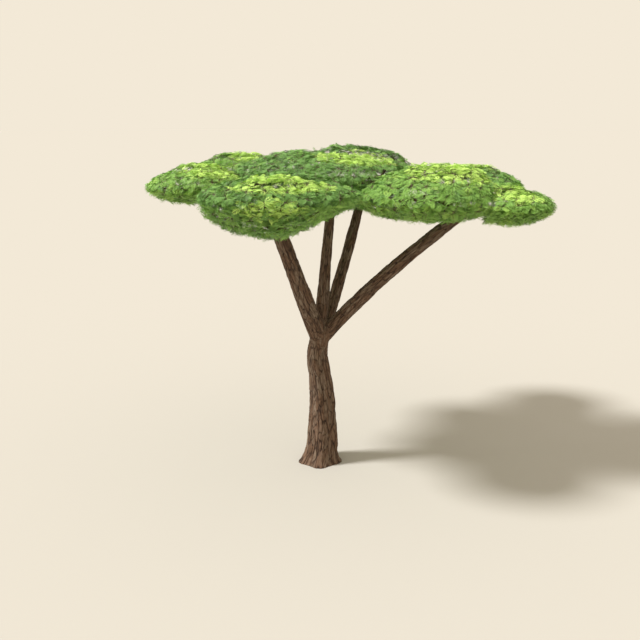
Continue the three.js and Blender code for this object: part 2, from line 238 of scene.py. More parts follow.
class RuleTree(NodeMaker):
    """A geometry node tree that is built from named inputs and ends in real faces with a material."""

    def __init__(self, name: str) -> None:
        """Starts a tree with a mesh going in.

        Args:
            name: The tree's name.
        """
        super().__init__(bpy.data.node_groups.new(name, "GeometryNodeTree"))
        self.tree.is_modifier = True
        self.source = self.tree.nodes.new("NodeGroupInput")
        self.identifiers: dict[str, str] = {}
        self.mesh = self.input("Mesh", "NodeSocketGeometry")

    def input(self, name: str, kind: str, value: float | None = None) -> NodeSocket:
        """Adds a named input.

        Args:
            name: The input's name.
            kind: The type of its socket.
            value: Its default.

        Returns:
            The socket that it comes out of inside the tree.
        """
        item = self.tree.interface.new_socket(name=name, in_out="INPUT", socket_type=kind)
        if value is not None:
            item.default_value = value
        self.identifiers[name] = item.identifier
        return self.source.outputs[name]

    def attribute(self, name: str, kind: str) -> NodeSocket:
        """Reads an attribute of this name and data type."""
        node = self.add("GeometryNodeInputNamedAttribute", {"Name": name}, data_type=kind)
        return node.outputs["Attribute"]

    def close(self, geometry: NodeSocket) -> None:
        """Ends the tree in Realize Instances and Set Material.

        Args:
            geometry: The shape that goes out.
        """
        real = self.add("GeometryNodeRealizeInstances", {"Geometry": geometry})
        material = self.input("Material", "NodeSocketMaterial")
        dressed = self.add("GeometryNodeSetMaterial", {"Geometry": real.outputs[0], "Material": material})
        self.tree.interface.new_socket(name="Mesh", in_out="OUTPUT", socket_type="NodeSocketGeometry")
        self.add("NodeGroupOutput", {"Mesh": dressed.outputs[0]})

    def apply(self, maker: Object, name: str, **values: object) -> Object:
        """Runs the tree on an object and keeps the result as a plain mesh.

        Args:
            maker: The object that holds the points or lines.
            name: The name of the result.
            values: The tree's inputs, by name.

        Returns:
            The plain object.
        """
        modifier = maker.modifiers.new(self.tree.name, "NODES")
        modifier.node_group = self.tree
        for key, value in values.items():
            modifier[self.identifiers[key]] = value
        return settled(maker, name)


def twig_tree() -> RuleTree:
    """Builds the tree that gives lines of points round wood.

    Returns:
        A tree with the inputs Sides and Bends, which reads each point's thickness.
    """
    rule = RuleTree("wood along lines")
    sides = rule.input("Sides", "NodeSocketInt", 3)
    bends = rule.input("Bends", "NodeSocketInt", 1)
    lines = rule.add("GeometryNodeMeshToCurve", {"Mesh": rule.mesh})
    soft = rule.add("GeometryNodeCurveSplineType", {"Curve": lines.outputs[0]}, spline_type="CATMULL_ROM")
    fine = rule.add("GeometryNodeSetSplineResolution", {"Geometry": soft.outputs[0], "Resolution": bends})
    thickness = rule.attribute("thickness", "FLOAT")
    ring = rule.add("GeometryNodeCurvePrimitiveCircle", {"Resolution": sides, "Radius": 1.0})
    wood = rule.add(
        "GeometryNodeCurveToMesh",
        {"Curve": fine.outputs[0], "Profile Curve": ring.outputs[0], "Scale": thickness, "Fill Caps": True},
    )
    smooth = rule.add("GeometryNodeSetShadeSmooth", {"Geometry": wood.outputs[0]})
    rule.close(smooth.outputs[0])
    return rule


def leaf_tree() -> RuleTree:
    """Builds the tree that sets a leaf on each point.

    Returns:
        A tree with the input Forms, which reads each point's way, face, size and form.
    """
    rule = RuleTree("leaves on points")
    forms = rule.input("Forms", "NodeSocketCollection")
    points = rule.add("GeometryNodeMeshToPoints", {"Mesh": rule.mesh})
    kinds = rule.add(
        "GeometryNodeCollectionInfo",
        {"Collection": forms, "Separate Children": True, "Reset Children": True},
    )
    face, way = (rule.attribute(name, "FLOAT_VECTOR") for name in ("face", "way"))
    turn = rule.add(
        "FunctionNodeAxesToRotation",
        {"Primary Axis": face, "Secondary Axis": way},
        primary_axis="Z",
        secondary_axis="X",
    )
    leaves = rule.add(
        "GeometryNodeInstanceOnPoints",
        {
            "Points": points.outputs[0],
            "Instance": kinds.outputs[0],
            "Pick Instance": True,
            "Instance Index": rule.attribute("form", "INT"),
            "Rotation": turn.outputs[0],
            "Scale": rule.attribute("size", "FLOAT"),
        },
    )
    rule.close(leaves.outputs[0])
    return rule


class Paint(NodeMaker):
    """A material that is built round its shader."""

    def __init__(self, name: str, roughness: float, gloss: float = 0.5) -> None:
        """Starts a material.

        Args:
            name: Its name.
            roughness: How rough it is.
            gloss: How strongly it reflects.
        """
        self.material = bpy.data.materials.new(name)
        self.material.use_nodes = True
        super().__init__(self.material.node_tree)
        self.shader = self.tree.nodes["Principled BSDF"].inputs
        self.shader["Roughness"].default_value = roughness
        self.shader["Specular IOR Level"].default_value = gloss

    def place(self) -> NodeSocket:
        """Reads the place on the object, in metres."""
        return self.add("ShaderNodeTexCoord").outputs["Object"]

    def attribute(self, name: str, output: str = "Fac") -> NodeSocket:
        """Reads the attribute of this name, from this output of its node."""
        return self.add("ShaderNodeAttribute", attribute_name=name).outputs[output]

    def cloud(
        self, place: NodeSocket, scale: float, detail: float = 2.0, roughness: float = 0.5
    ) -> Node:
        """Adds noise.

        Args:
            place: Where it is read.
            scale: How many swells it has in a metre.
            detail: How many finer layers it has.
            roughness: How strong each finer layer is.

        Returns:
            Its node.
        """
        sockets = {"Vector": place, "Scale": scale, "Detail": detail, "Roughness": roughness}
        return self.add("ShaderNodeTexNoise", sockets)

    def product(self, one: object, other: object, plus: object = 0.0) -> NodeSocket:
        """Multiplies two sockets or numbers, and adds a third."""
        return self.add("ShaderNodeMath", {0: one, 1: other, 2: plus}, operation="MULTIPLY_ADD").outputs[0]

    def spread(
        self, value: NodeSocket, low: float, high: float, start: float = 0.0, end: float = 1.0
    ) -> NodeSocket:
        """Turns a value from low to high into one from start to end."""
        sockets = {"Value": value, "From Min": low, "From Max": high, "To Min": start, "To Max": end}
        return self.add("ShaderNodeMapRange", sockets).outputs[0]

    def blend(self, share: NodeSocket, first: object, second: object) -> NodeSocket:
        """Blends from the first colour to the second by a share."""
        return self.add("ShaderNodeMix", {0: share, 6: first, 7: second}, data_type="RGBA").outputs[2]

    def ramp(self, share: NodeSocket, stops: list) -> NodeSocket:
        """Gives a share a colour.

        Args:
            share: The share.
            stops: Pairs of a share and the screen colour there, the lowest share first.

        Returns:
            The colour.
        """
        node = self.add("ShaderNodeValToRGB", {"Fac": share})
        marks = node.color_ramp.elements
        for number, (place, colour) in enumerate((stops[0], stops[-1])):
            marks[number].position, marks[number].color = place, linear(colour)
        for place, colour in stops[1:-1]:
            marks.new(place).color = linear(colour)
        return node.outputs["Color"]

    def colour(self, value: object) -> None:
        """Sets the base colour."""
        self.feed(self.shader["Base Color"], value)

    def bump(
        self, height: NodeSocket, strength: float, distance: float, invert: bool = False
    ) -> None:
        """Raises the surface.

        Args:
            height: Where it is raised.
            strength: How strongly.
            distance: How far, in metres.
            invert: Whether it is pressed in instead.
        """
        sockets = {"Height": height, "Strength": strength, "Distance": distance}
        node = self.add("ShaderNodeBump", sockets, invert=invert)
        self.feed(self.shader["Normal"], node.outputs["Normal"])


@dataclass(frozen=True)
class LeafFinish:
    """One green of the leaves, plain all over, with a faintly uneven skin.

    Attributes:
        tone: Which of the greens it is.
        hue: Its screen colour.
    """

    tone: Tone
    hue: int
    roughness: float = 0.62
    gloss: float = 0.35
    skin_scale: float = 90.0
    skin_strength: float = 0.12
    skin_height: float = 0.004

    def material(self) -> Material:
        """Makes the material."""
        paint = Paint(f"leaf_{self.tone.name.lower()}", self.roughness, self.gloss)
        paint.colour(linear(self.hue))
        skin = paint.cloud(paint.place(), self.skin_scale)
        paint.bump(skin.outputs["Fac"], self.skin_strength, self.skin_height)
        return paint.material


@dataclass(frozen=True)
class BarkFinish:
    """Rough bark: grey ridges with fine grain along the limb, and furrows between them that are darkened by
    their depth as painted shade.

    Attributes:
        name: The material's name.
        ridge: The screen colour of the ridges.
        body: The colour between ridge and furrow.
        furrow: The colour deep in the furrows, a painted shade.
        grey: The colour of weathered patches.
        ramp: How deep the ridge, the body and the furrow are.
        plate_share: How much of the weathering goes by plates, and not by patches.
        weathered: Where the weathering starts and where it is full.
        bare: Where the furrows start to lose the grey, and where they have none.
    """

    name: str = "bark"
    ridge: int = 0x786352
    body: int = 0x644D3C
    furrow: int = 0x35281F
    grey: int = 0x84796A
    ramp: tuple = (0.3, 0.55, 1.0)
    roughness: float = 0.93
    gloss: float = 0.2
    bend_scale: float = 9.0
    bend_reach: float = 0.05
    crack_scale: float = 17.0
    crack_width: float = 0.09
    crack_share: float = 0.35
    fibre_scale: float = 60.0
    fibre_share: float = 0.9
    furrow_share: float = 0.45
    patch_scale: float = 2.6
    plate_share: float = 0.35
    weathered: tuple = (0.42, 0.72)
    most_grey: float = 0.6
    bare: tuple = (0.4, 1.0)
    relief_strength: float = 0.9
    relief_height: float = 0.012

    def material(self) -> Material:
        """Makes the material, which reads the attributes that the relief leaves on the bark."""
        paint = Paint(self.name, self.roughness, self.gloss)
        grain = paint.attribute("grain", "Vector")
        bends = paint.cloud(grain, self.bend_scale, 3.0).outputs["Color"]
        steps = {0: bends, 1: (self.bend_reach,) * 3, 2: grain}
        bent = paint.add("ShaderNodeVectorMath", steps, operation="MULTIPLY_ADD").outputs[0]
        sockets = {"Vector": bent, "Scale": self.crack_scale}
        edges = paint.add("ShaderNodeTexVoronoi", sockets, feature="DISTANCE_TO_EDGE")
        plates = paint.add("ShaderNodeTexVoronoi", sockets)
        plate = paint.add("ShaderNodeSeparateColor", {"Color": plates.outputs["Color"]}).outputs[0]
        cracks = paint.spread(edges.outputs["Distance"], 0.0, self.crack_width, 1.0, 0.0)
        fibres = paint.cloud(grain, self.fibre_scale, 7.0, 0.65).outputs["Fac"]
        patches = paint.cloud(paint.place(), self.patch_scale, 5.0).outputs["Fac"]

        whole_cracks = paint.product(cracks, paint.attribute("plain"))
        fine = paint.product(whole_cracks, self.crack_share, paint.product(fibres, self.fibre_share))
        depth = paint.product(paint.attribute("furrow"), self.furrow_share, fine)
        # Painted shade: the colour darkens from ridge to body to furrow as the furrows and cracks deepen.
        wood = paint.ramp(depth, list(zip(self.ramp, (self.ridge, self.body, self.furrow))))
        uneven = paint.product(plate, self.plate_share, paint.product(patches, 1.0 - self.plate_share))
        weathering = paint.spread(uneven, *self.weathered, 0.0, self.most_grey)
        greyed = paint.blend(weathering, wood, linear(self.grey))
        paint.colour(paint.blend(paint.spread(depth, *self.bare), greyed, wood))
        paint.bump(fine, self.relief_strength, self.relief_height, invert=True)
        return paint.material


@dataclass(frozen=True)
class TwigFinish:
    """Thin brown bark of the twigs, mottled with grey.

    Attributes:
        name: The material's name.
        dark: Its darker colour.
        pale: Its paler colour.
        stops: Where the mottling is dark, and where it is pale.
    """

    name: str = "twig_bark"
    dark: int = 0x46362A
    pale: int = 0x7A6552
    stops: tuple = (0.35, 0.68)
    roughness: float = 0.85
    scale: float = 22.0
    detail: float = 4.0
    relief_strength: float = 0.5
    relief_height: float = 0.006

    def material(self) -> Material:
        """Makes the material."""
        paint = Paint(self.name, self.roughness)
        mottle = paint.cloud(paint.place(), self.scale, self.detail).outputs["Fac"]
        paint.colour(paint.ramp(mottle, list(zip(self.stops, (self.dark, self.pale)))))
        if self.relief_strength:
            paint.bump(mottle, self.relief_strength, self.relief_height)
        return paint.material


@dataclass(frozen=True)
class ThornFinish(TwigFinish):
    """Smooth pale thorns, a little streaked."""

    name: str = "thorn"
    dark: int = 0xA89C86
    pale: int = 0xE6DECB
    stops: tuple = (0.35, 0.6)
    roughness: float = 0.45
    scale: float = 40.0
    detail: float = 2.0
    relief_strength: float = 0.0


@dataclass
class WoodPath:
    """The middle line of a piece of wood, with its radius at each place.

    Attributes:
        points: Rows of places along the line.
        radii: The radius at each place.
    """

    points: ndarray
    radii: ndarray

    @property
    def along(self) -> ndarray:
        """How far each place is along the line, in metres."""
        return lengths_along(self.points)

    def frames(self) -> tuple[ndarray, ndarray, ndarray]:
        """Carries a sideways direction along the line without twisting it.

        Returns:
            The ways of the line and two directions square to them, as rows.
        """
        ways = unit(np.gradient(self.points, axis=0))
        side = np.array([1.0, 0.0, 0.0])
        sides = []
        for way in ways:
            side = unit(side - way * (side @ way))
            sides.append(side)
        sides = np.array(sides)
        return ways, sides, np.cross(ways, sides)

    def sweep(self, around: int) -> tuple[ndarray, list]:
        """Makes the closed skin of the wood.

        Args:
            around: How many points go round the wood.

        Returns:
            The skin's points and faces.
        """
        _, sides, overs = self.frames()
        turns = np.linspace(0, 2 * math.pi, around, endpoint=False)
        rings = [
            middle + radius * (np.outer(np.cos(turns), side) + np.outer(np.sin(turns), over))
            for middle, radius, side, over in zip(self.points, self.radii, sides, overs)
        ]
        return skin_of_rings(rings)


def skin_of_rings(rings: list) -> tuple[ndarray, list]:
    """Joins rings of points into a closed skin.

    Args:
        rings: Arrays of the same number of places, from the foot to the end.

    Returns:
        The skin's points and faces.
    """
    around = len(rings[0])
    faces = []
    for ring in range(len(rings) - 1):
        for i in range(around):
            low, high = ring * around, (ring + 1) * around
            faces.append((low + i, low + (i + 1) % around, high + (i + 1) % around, high + i))
    faces.append(tuple(reversed(range(around))))
    faces.append(tuple(range((len(rings) - 1) * around, len(rings) * around)))
    return np.concatenate(rings), faces


@dataclass
class Trunk:
    """The trunk, from its flared foot to the fork.

    Attributes:
        fork_height: The height of the fork.
        foot_radius: The radius at the foot, above the flare.
        fork_radius: The radius at the fork.
        middles: Where its middle is as it rises: x, y and height.
    """

    fork_height: float = 3.05
    foot_radius: float = 0.372
    fork_radius: float = 0.216
    taper_power: float = 1.2
    flare_width: float = 0.128
    flare_height: float = 0.11
    flutes: int = 5
    flute_foot: float = 0.085
    flute_fork: float = 0.03
    flute_twist: float = 0.9
    fork_depth: float = 0.12
    under_ground: float = 0.06
    radius_samples: int = 24
    middles: tuple = (
        (0, 0, 0),
        (0.046, 0.006, 0.33),
        (0.068, 0.034, 1.0),
        (0.06, 0.024, 1.58),
        (0.006, -0.022, 2.11),
        (-0.058, -0.034, 2.57),
        (0.01, 0, 3.05),
    )

    @property
    def tip(self) -> ndarray:
        """Where the boughs start, inside the trunk."""
        return np.array([0.0, 0.0, self.fork_height - self.fork_depth])

    def middle(self, heights: ndarray) -> ndarray:
        """Follows the middle of the trunk up through its places on a smooth line.

        Args:
            heights: Heights above the ground.

        Returns:
            A row of x, y and height for each.
        """
        knots = np.array(self.middles, dtype=float)
        slopes = np.gradient(knots[:, :2], knots[:, 2], axis=0)
        step = np.clip(np.searchsorted(knots[:, 2], heights) - 1, 0, len(knots) - 2)
        low, high = knots[step], knots[step + 1]
        span = (high[:, 2] - low[:, 2])[:, None]
        t = np.clip((heights[:, None] - low[:, 2:]) / span, 0, 1)
        place = (
            (2 * t**3 - 3 * t**2 + 1) * low[:, :2]
            + (t**3 - 2 * t**2 + t) * span * slopes[step]
            + (3 * t**2 - 2 * t**3) * high[:, :2]
            + (t**3 - t**2) * span * slopes[step + 1]
        )
        return np.column_stack([place, heights])

    def radius(self, height: float, turns: ndarray) -> ndarray:
        """Gives the trunk's radius, with its flutes and root flare.

        Args:
            height: A height above the ground.
            turns: Angles round the trunk, from its front.

        Returns:
            The radius at each angle.
        """
        share = max(0.0, height / self.fork_height)
        taper = max(0.0, 1 - share) ** self.taper_power
        plain = self.fork_radius + (self.foot_radius - self.fork_radius) * taper
        flare = self.flare_width * math.exp(-share * self.fork_height / self.flare_height)
        depth = self.flute_fork + (self.flute_foot - self.flute_fork) * taper
        flutes = np.cos(self.flutes * turns + self.flute_twist * math.pi * share)
        return (plain + flare) * (1 + depth * flutes)

    def path(self, steps: int = 60) -> WoodPath:
        """Gives the trunk's middle line.

        Args:
            steps: How many places it has.

        Returns:
            The line, with the trunk's mean radius.
        """
        heights = np.linspace(0, self.fork_height, steps)
        turns = np.linspace(0, 2 * math.pi, self.radius_samples, endpoint=False)
        return WoodPath(self.middle(heights), np.array([self.radius(h, turns).mean() for h in heights]))

    def skin(self, around: int = 72, steps: int = 90) -> tuple[ndarray, list]:
        """Makes the closed skin, which goes on a little under the ground for the flat cut.

        Args:
            around: How many points go round it.
            steps: How many rings it has.

        Returns:
            The skin's points and faces.
        """
        turns = np.linspace(0, 2 * math.pi, around, endpoint=False)
        rings = []
        for height in np.linspace(-self.under_ground, self.fork_height, steps):
            middle = self.middle(np.array([max(0.0, height)]))[0]
            radius = self.radius(height, turns)
            across = np.column_stack([np.sin(turns) * radius, -np.cos(turns) * radius, np.zeros(around)])
            rings.append(across + [middle[0], middle[1], height])
        return skin_of_rings(rings)


@dataclass
class Limb:
    """A bough or limb: one bent, tapering piece of wood.

    Attributes:
        name: Its node in the frame.
        carrier: What carries it: the trunk, or the limb whose tip it goes on from.
        tip: Where it ends.
        knee_out: How far out its curve's control point stands, as a share of the way to the tip.
        knee_up: How far up that point stands, as such a share.
        foot: Its radius where it starts.
        end: Its radius at the tip.
        sway: How much its radius swells and narrows on the way.
        sway_length: How long a swell is.
        sway_pace: How far apart limbs of different radii lie in the noise of the swells.
        sway_place: Where in the noise they lie.
    """

    name: str
    carrier: str
    tip: tuple
    knee_out: float
    knee_up: float
    foot: float
    end: float
    sway: float = 0.07
    sway_length: float = 0.55
    sway_pace: float = 90.0
    sway_place: float = 3.7

    def path(self, start: ndarray, steps: int = 48) -> WoodPath:
        """Gives the limb's middle line.

        Args:
            start: Where it starts.
            steps: How many places it has.

        Returns:
            The line. Its radius swells and narrows a little on the way, as a grown limb's does.
        """
        end = np.array(self.tip, dtype=float)
        knee = start + (end - start) * self.knee_out
        knee[2] = start[2] + (end[2] - start[2]) * self.knee_up
        t = np.linspace(0, 1, steps)[:, None]
        points = (1 - t) ** 2 * start + 2 * t * (1 - t) * knee + t**2 * end
        along = lengths_along(points)
        plain = self.foot + (self.end - self.foot) * (along / along[-1])
        row = (self.foot * self.sway_pace, self.sway_place)
        swell = np.array([noise.noise(Vector((length / self.sway_length, *row))) for length in along])
        return WoodPath(points, plain * (1 + self.sway * swell))


@dataclass
class Cushion:
    """A raised pad of leaves on top of a mass.

    Attributes:
        right: Its middle, to the right of the mass's middle.
        back: Its middle, behind the mass's middle.
        long: Half its spread along X.
        wide: Half its spread along Y.
        lift: How far it stands up.
    """

    right: float
    back: float
    long: float
    wide: float
    lift: float

    def edge(self, rights: ndarray, backs: ndarray) -> ndarray:
        """Says how far out places lie in the cushion: 0 at its middle and 1 at its edge."""
        return np.hypot((rights - self.right) / self.long, (backs - self.back) / self.wide)


@dataclass
class Tuft:
    """A space on the skin of a mass where its leaves are dealt the palest greens, as painted sunlight.

    Attributes:
        middle: The centre of the space, from the middle of the mass.
        reach: How far it goes along X, Y and Z.
    """

    middle: tuple
    reach: tuple

    def holds(self, places: ndarray) -> ndarray:
        """Says which places, given from the middle of the mass, lie in the tuft."""
        return np.linalg.norm((places - self.middle) / self.reach, axis=1) < 1


@dataclass
class Mass:
    """A mass of foliage: a lens-shaped space and what grows in it.

    Attributes:
        name: Its node in the frame, without the word foliage.
        carrier: The limb whose tip its stem stands on.
        middle: The centre of the lens's rim.
        long: Half the lens's spread along X.
        wide: Half its spread along Y.
        rise: How far it swells above the rim.
        drop: How far it swells below the rim.
        stem: The radius of its stem.
        sprays: How many sprays its solid tries to hold.
        tone: The green that most of its leaves have.
        cushions: Its raised parts.
        tufts: Where its leaves are painted pale, as sunlight on them.
        under_tilt: How much less it drops at its right end than in the middle, as a share.
        painted_light_below: How many tones lighter the leaves in its lower half are, painted light that
            lifts its shade.
        cushion_steepness: How fast a cushion reaches its full lift from its edge.
        cushion_fade: How fast the cushions rise from the lens's rim.
        lens_power: The power of the lens's curve, 0.5 for an ellipsoid.
        stem_out: How far the stem goes towards the lens's middle on the plan, as a share.
        stem_up: How far it goes up towards that middle.
        least_up: How steeply leaves near the rim still face up or down.
    """

    name: str
    carrier: str
    middle: tuple
    long: float
    wide: float
    rise: float
    drop: float
    stem: float
    sprays: int
    tone: Tone
    cushions: list = field(default_factory=list)
    tufts: list = field(default_factory=list)
    under_tilt: float = 0.0
    painted_light_below: float = 0.25
    cushion_steepness: float = 4.0
    cushion_fade: float = 2.0
    lens_power: float = 0.5
    stem_out: float = 0.4
    stem_up: float = 0.65
    stem_taper: float = 0.9
    stem_steps: int = 8
    least_up: float = 0.25

    def skins(self, places: ndarray) -> tuple[ndarray, ndarray, ndarray]:
        """Measures the lens over places on the plan.

        Args:
            places: Rows that start with x and y.

        Returns:
            How far out in the lens each place is, and the heights of the upper and lower skin there.
        """
        rights, backs = places[:, 0] - self.middle[0], places[:, 1] - self.middle[1]
        out = np.minimum(1, np.hypot(rights / self.long, backs / self.wide))
        dome = (1 - out**2) ** self.lens_power
        lift = np.zeros(len(places))
        for cushion in self.cushions:
            share = np.minimum(1, self.cushion_steepness * (1 - cushion.edge(rights, backs)))
            lift = np.maximum(lift, cushion.lift * share)
        top = self.middle[2] + self.rise * dome + np.minimum(1, self.cushion_fade * dome) * lift
        drop = self.drop * (1 - self.under_tilt * np.clip(rights / self.long, 0, 1))
        return out, top, self.middle[2] - drop * dome

    def is_clear(self, places: ndarray, gap: float) -> ndarray:
        """Says which places lie beside, over or under the lens with this gap."""
        out, top, bottom = self.skins(places)
        return (out >= 1) | (places[:, 2] > top + gap) | (places[:, 2] < bottom - gap)

    def is_young(self, places: ndarray) -> ndarray:
        """Says at which places the leaves are painted pale, as sunlight on the tufts."""
        return np.any([tuft.holds(places - self.middle) for tuft in self.tufts], axis=0)

    def wall_room(self, other: "Mass", places: ndarray) -> ndarray:
        """Measures how far places lie on this mass's side of the wall between it and another.

        Args:
            other: The other mass.
            places: Rows that start with x and y.

        Returns:
            The distance of each from the wall, below 0 on the other side.
        """
        own = (places[:, 0] - self.middle[0]) ** 2 + (places[:, 1] - self.middle[1]) ** 2
        others = (places[:, 0] - other.middle[0]) ** 2 + (places[:, 1] - other.middle[1]) ** 2
        apart = math.hypot(other.middle[0] - self.middle[0], other.middle[1] - self.middle[1])
        return (others - other.long * other.wide - own + self.long * self.wide) / (2 * apart)

    def stem_path(self, seat: ndarray) -> WoodPath:
        """Gives the line of the mass's stem.

        Args:
            seat: Its bough's tip, where it starts.

        Returns:
            The line up to the first fork of the twigs.
        """
        middle = np.array(self.middle, dtype=float)
        hub = seat + (middle - seat) * self.stem_out
        hub[2] = seat[2] + (middle[2] - seat[2]) * self.stem_up
        radii = np.linspace(self.stem, self.stem * self.stem_taper, self.stem_steps)
        return WoodPath(np.linspace(seat, hub, self.stem_steps), radii)

    def facing(self, places: ndarray) -> ndarray:
        """Gives the outward direction of the lens's nearer skin.

        Args:
            places: Rows of places in the lens.

        Returns:
            A row for each.
        """
        _, top, bottom = self.skins(places)
        upper = places[:, 2] > (top + bottom) / 2
        height = np.where(upper, self.rise, self.drop)
        rights, backs = places[:, 0] - self.middle[0], places[:, 1] - self.middle[1]
        steep = np.maximum(self.least_up, np.abs(places[:, 2] - self.middle[2]) / height)
        ups = np.where(upper, 1.0, -1.0) * steep
        return unit(np.column_stack([rights / self.long**2, backs / self.wide**2, ups / height]))


@dataclass
class Skeleton:
    """The trunk, the limbs and the masses' spaces, with what keeps twigs and leaves clear of them.

    Attributes:
        trunk: The trunk.
        limbs: The boughs and limbs, each after what carries it.
        masses: The masses of foliage.
        clear_gap: How far over or under another mass's lens a place is clear of it.
        limb_margin: How far twigs and leaves stay off limbs and stems.
        bead_step: How far apart the beads are that mark limbs and stems.
    """

    trunk: Trunk
    limbs: list
    masses: list
    clear_gap: float = 0.04
    limb_margin: float = 0.012
    bead_step: float = 0.05

    def __post_init__(self) -> None:
        """Works out every limb's line and the beads along it."""
        self.paths = {"trunk": self.trunk.path()}
        self.tips = {"trunk": self.trunk.tip}
        for limb in self.limbs:
            self.paths[limb.name] = limb.path(self.tips[limb.carrier])
            self.tips[limb.name] = np.array(limb.tip, dtype=float)
        self.stems = {mass.name: mass.stem_path(self.tips[mass.carrier]) for mass in self.masses}
        beads = [self.beads(self.paths[limb.name], -1) for limb in self.limbs]
        beads += [self.beads(self.stems[mass.name], i) for i, mass in enumerate(self.masses)]
        self.bead_places = np.concatenate([b[0] for b in beads])
        self.bead_radii = np.concatenate([b[1] for b in beads])
        self.bead_owners = np.concatenate([b[2] for b in beads])

    def beads(self, path: WoodPath, owner: int) -> tuple[ndarray, ndarray, ndarray]:
        """Sets beads along a line of wood.

        Args:
            path: The line.
            owner: The number of the mass that may touch them, or -1.

        Returns:
            The beads' places, radii and owners.
        """
        along = path.along
        marks = np.arange(0, along[-1], self.bead_step)
        places = np.column_stack([np.interp(marks, along, path.points[:, axis]) for axis in range(3)])
        return places, np.interp(marks, along, path.radii), np.full(len(marks), owner)

    def is_free(self, mass: Mass, places: ndarray, radius: float) -> ndarray:
        """Says which places are clear of every limb and of every other mass's stem.

        Args:
            mass: The mass that they belong to.
            places: Rows of places.
            radius: The radius of the wood there.

        Returns:
            True or False for each place.
        """
        near = self.bead_owners != self.masses.index(mass)
        gaps = np.linalg.norm(places[:, None] - self.bead_places[near], axis=2) - self.bead_radii[near]
        return gaps.min(axis=1) > radius + self.limb_margin

    def holds(self, mass: Mass, places: ndarray, margin: float) -> ndarray:
        """Says which places lie in a mass's own space, clear of the other masses.

        Args:
            mass: The mass.
            places: Rows of places.
            margin: How far inside the wall towards a mass they lie, unless they are clear of its lens.

        Returns:
            True or False for each place.
        """
        out, top, bottom = mass.skins(places)
        inside = (out < 1) & (places[:, 2] <= top) & (places[:, 2] >= bottom)
        for other in self.masses:
            if other is not mass:
                inside &= (mass.wall_room(other, places) > margin) | other.is_clear(places, self.clear_gap)
        return inside


@dataclass
class Growth:
    """What one mass grows: its twigs as lines, and the places of its leaves.

    Attributes:
        total: How many aims the mass has.
        twigs: Lines of wood.
        roots: Where each shoot leaves its twig.
        tips: Where each shoot ends.
    """

    total: int
    twigs: list = field(default_factory=list)
    roots: list = field(default_factory=list)
    tips: list = field(default_factory=list)


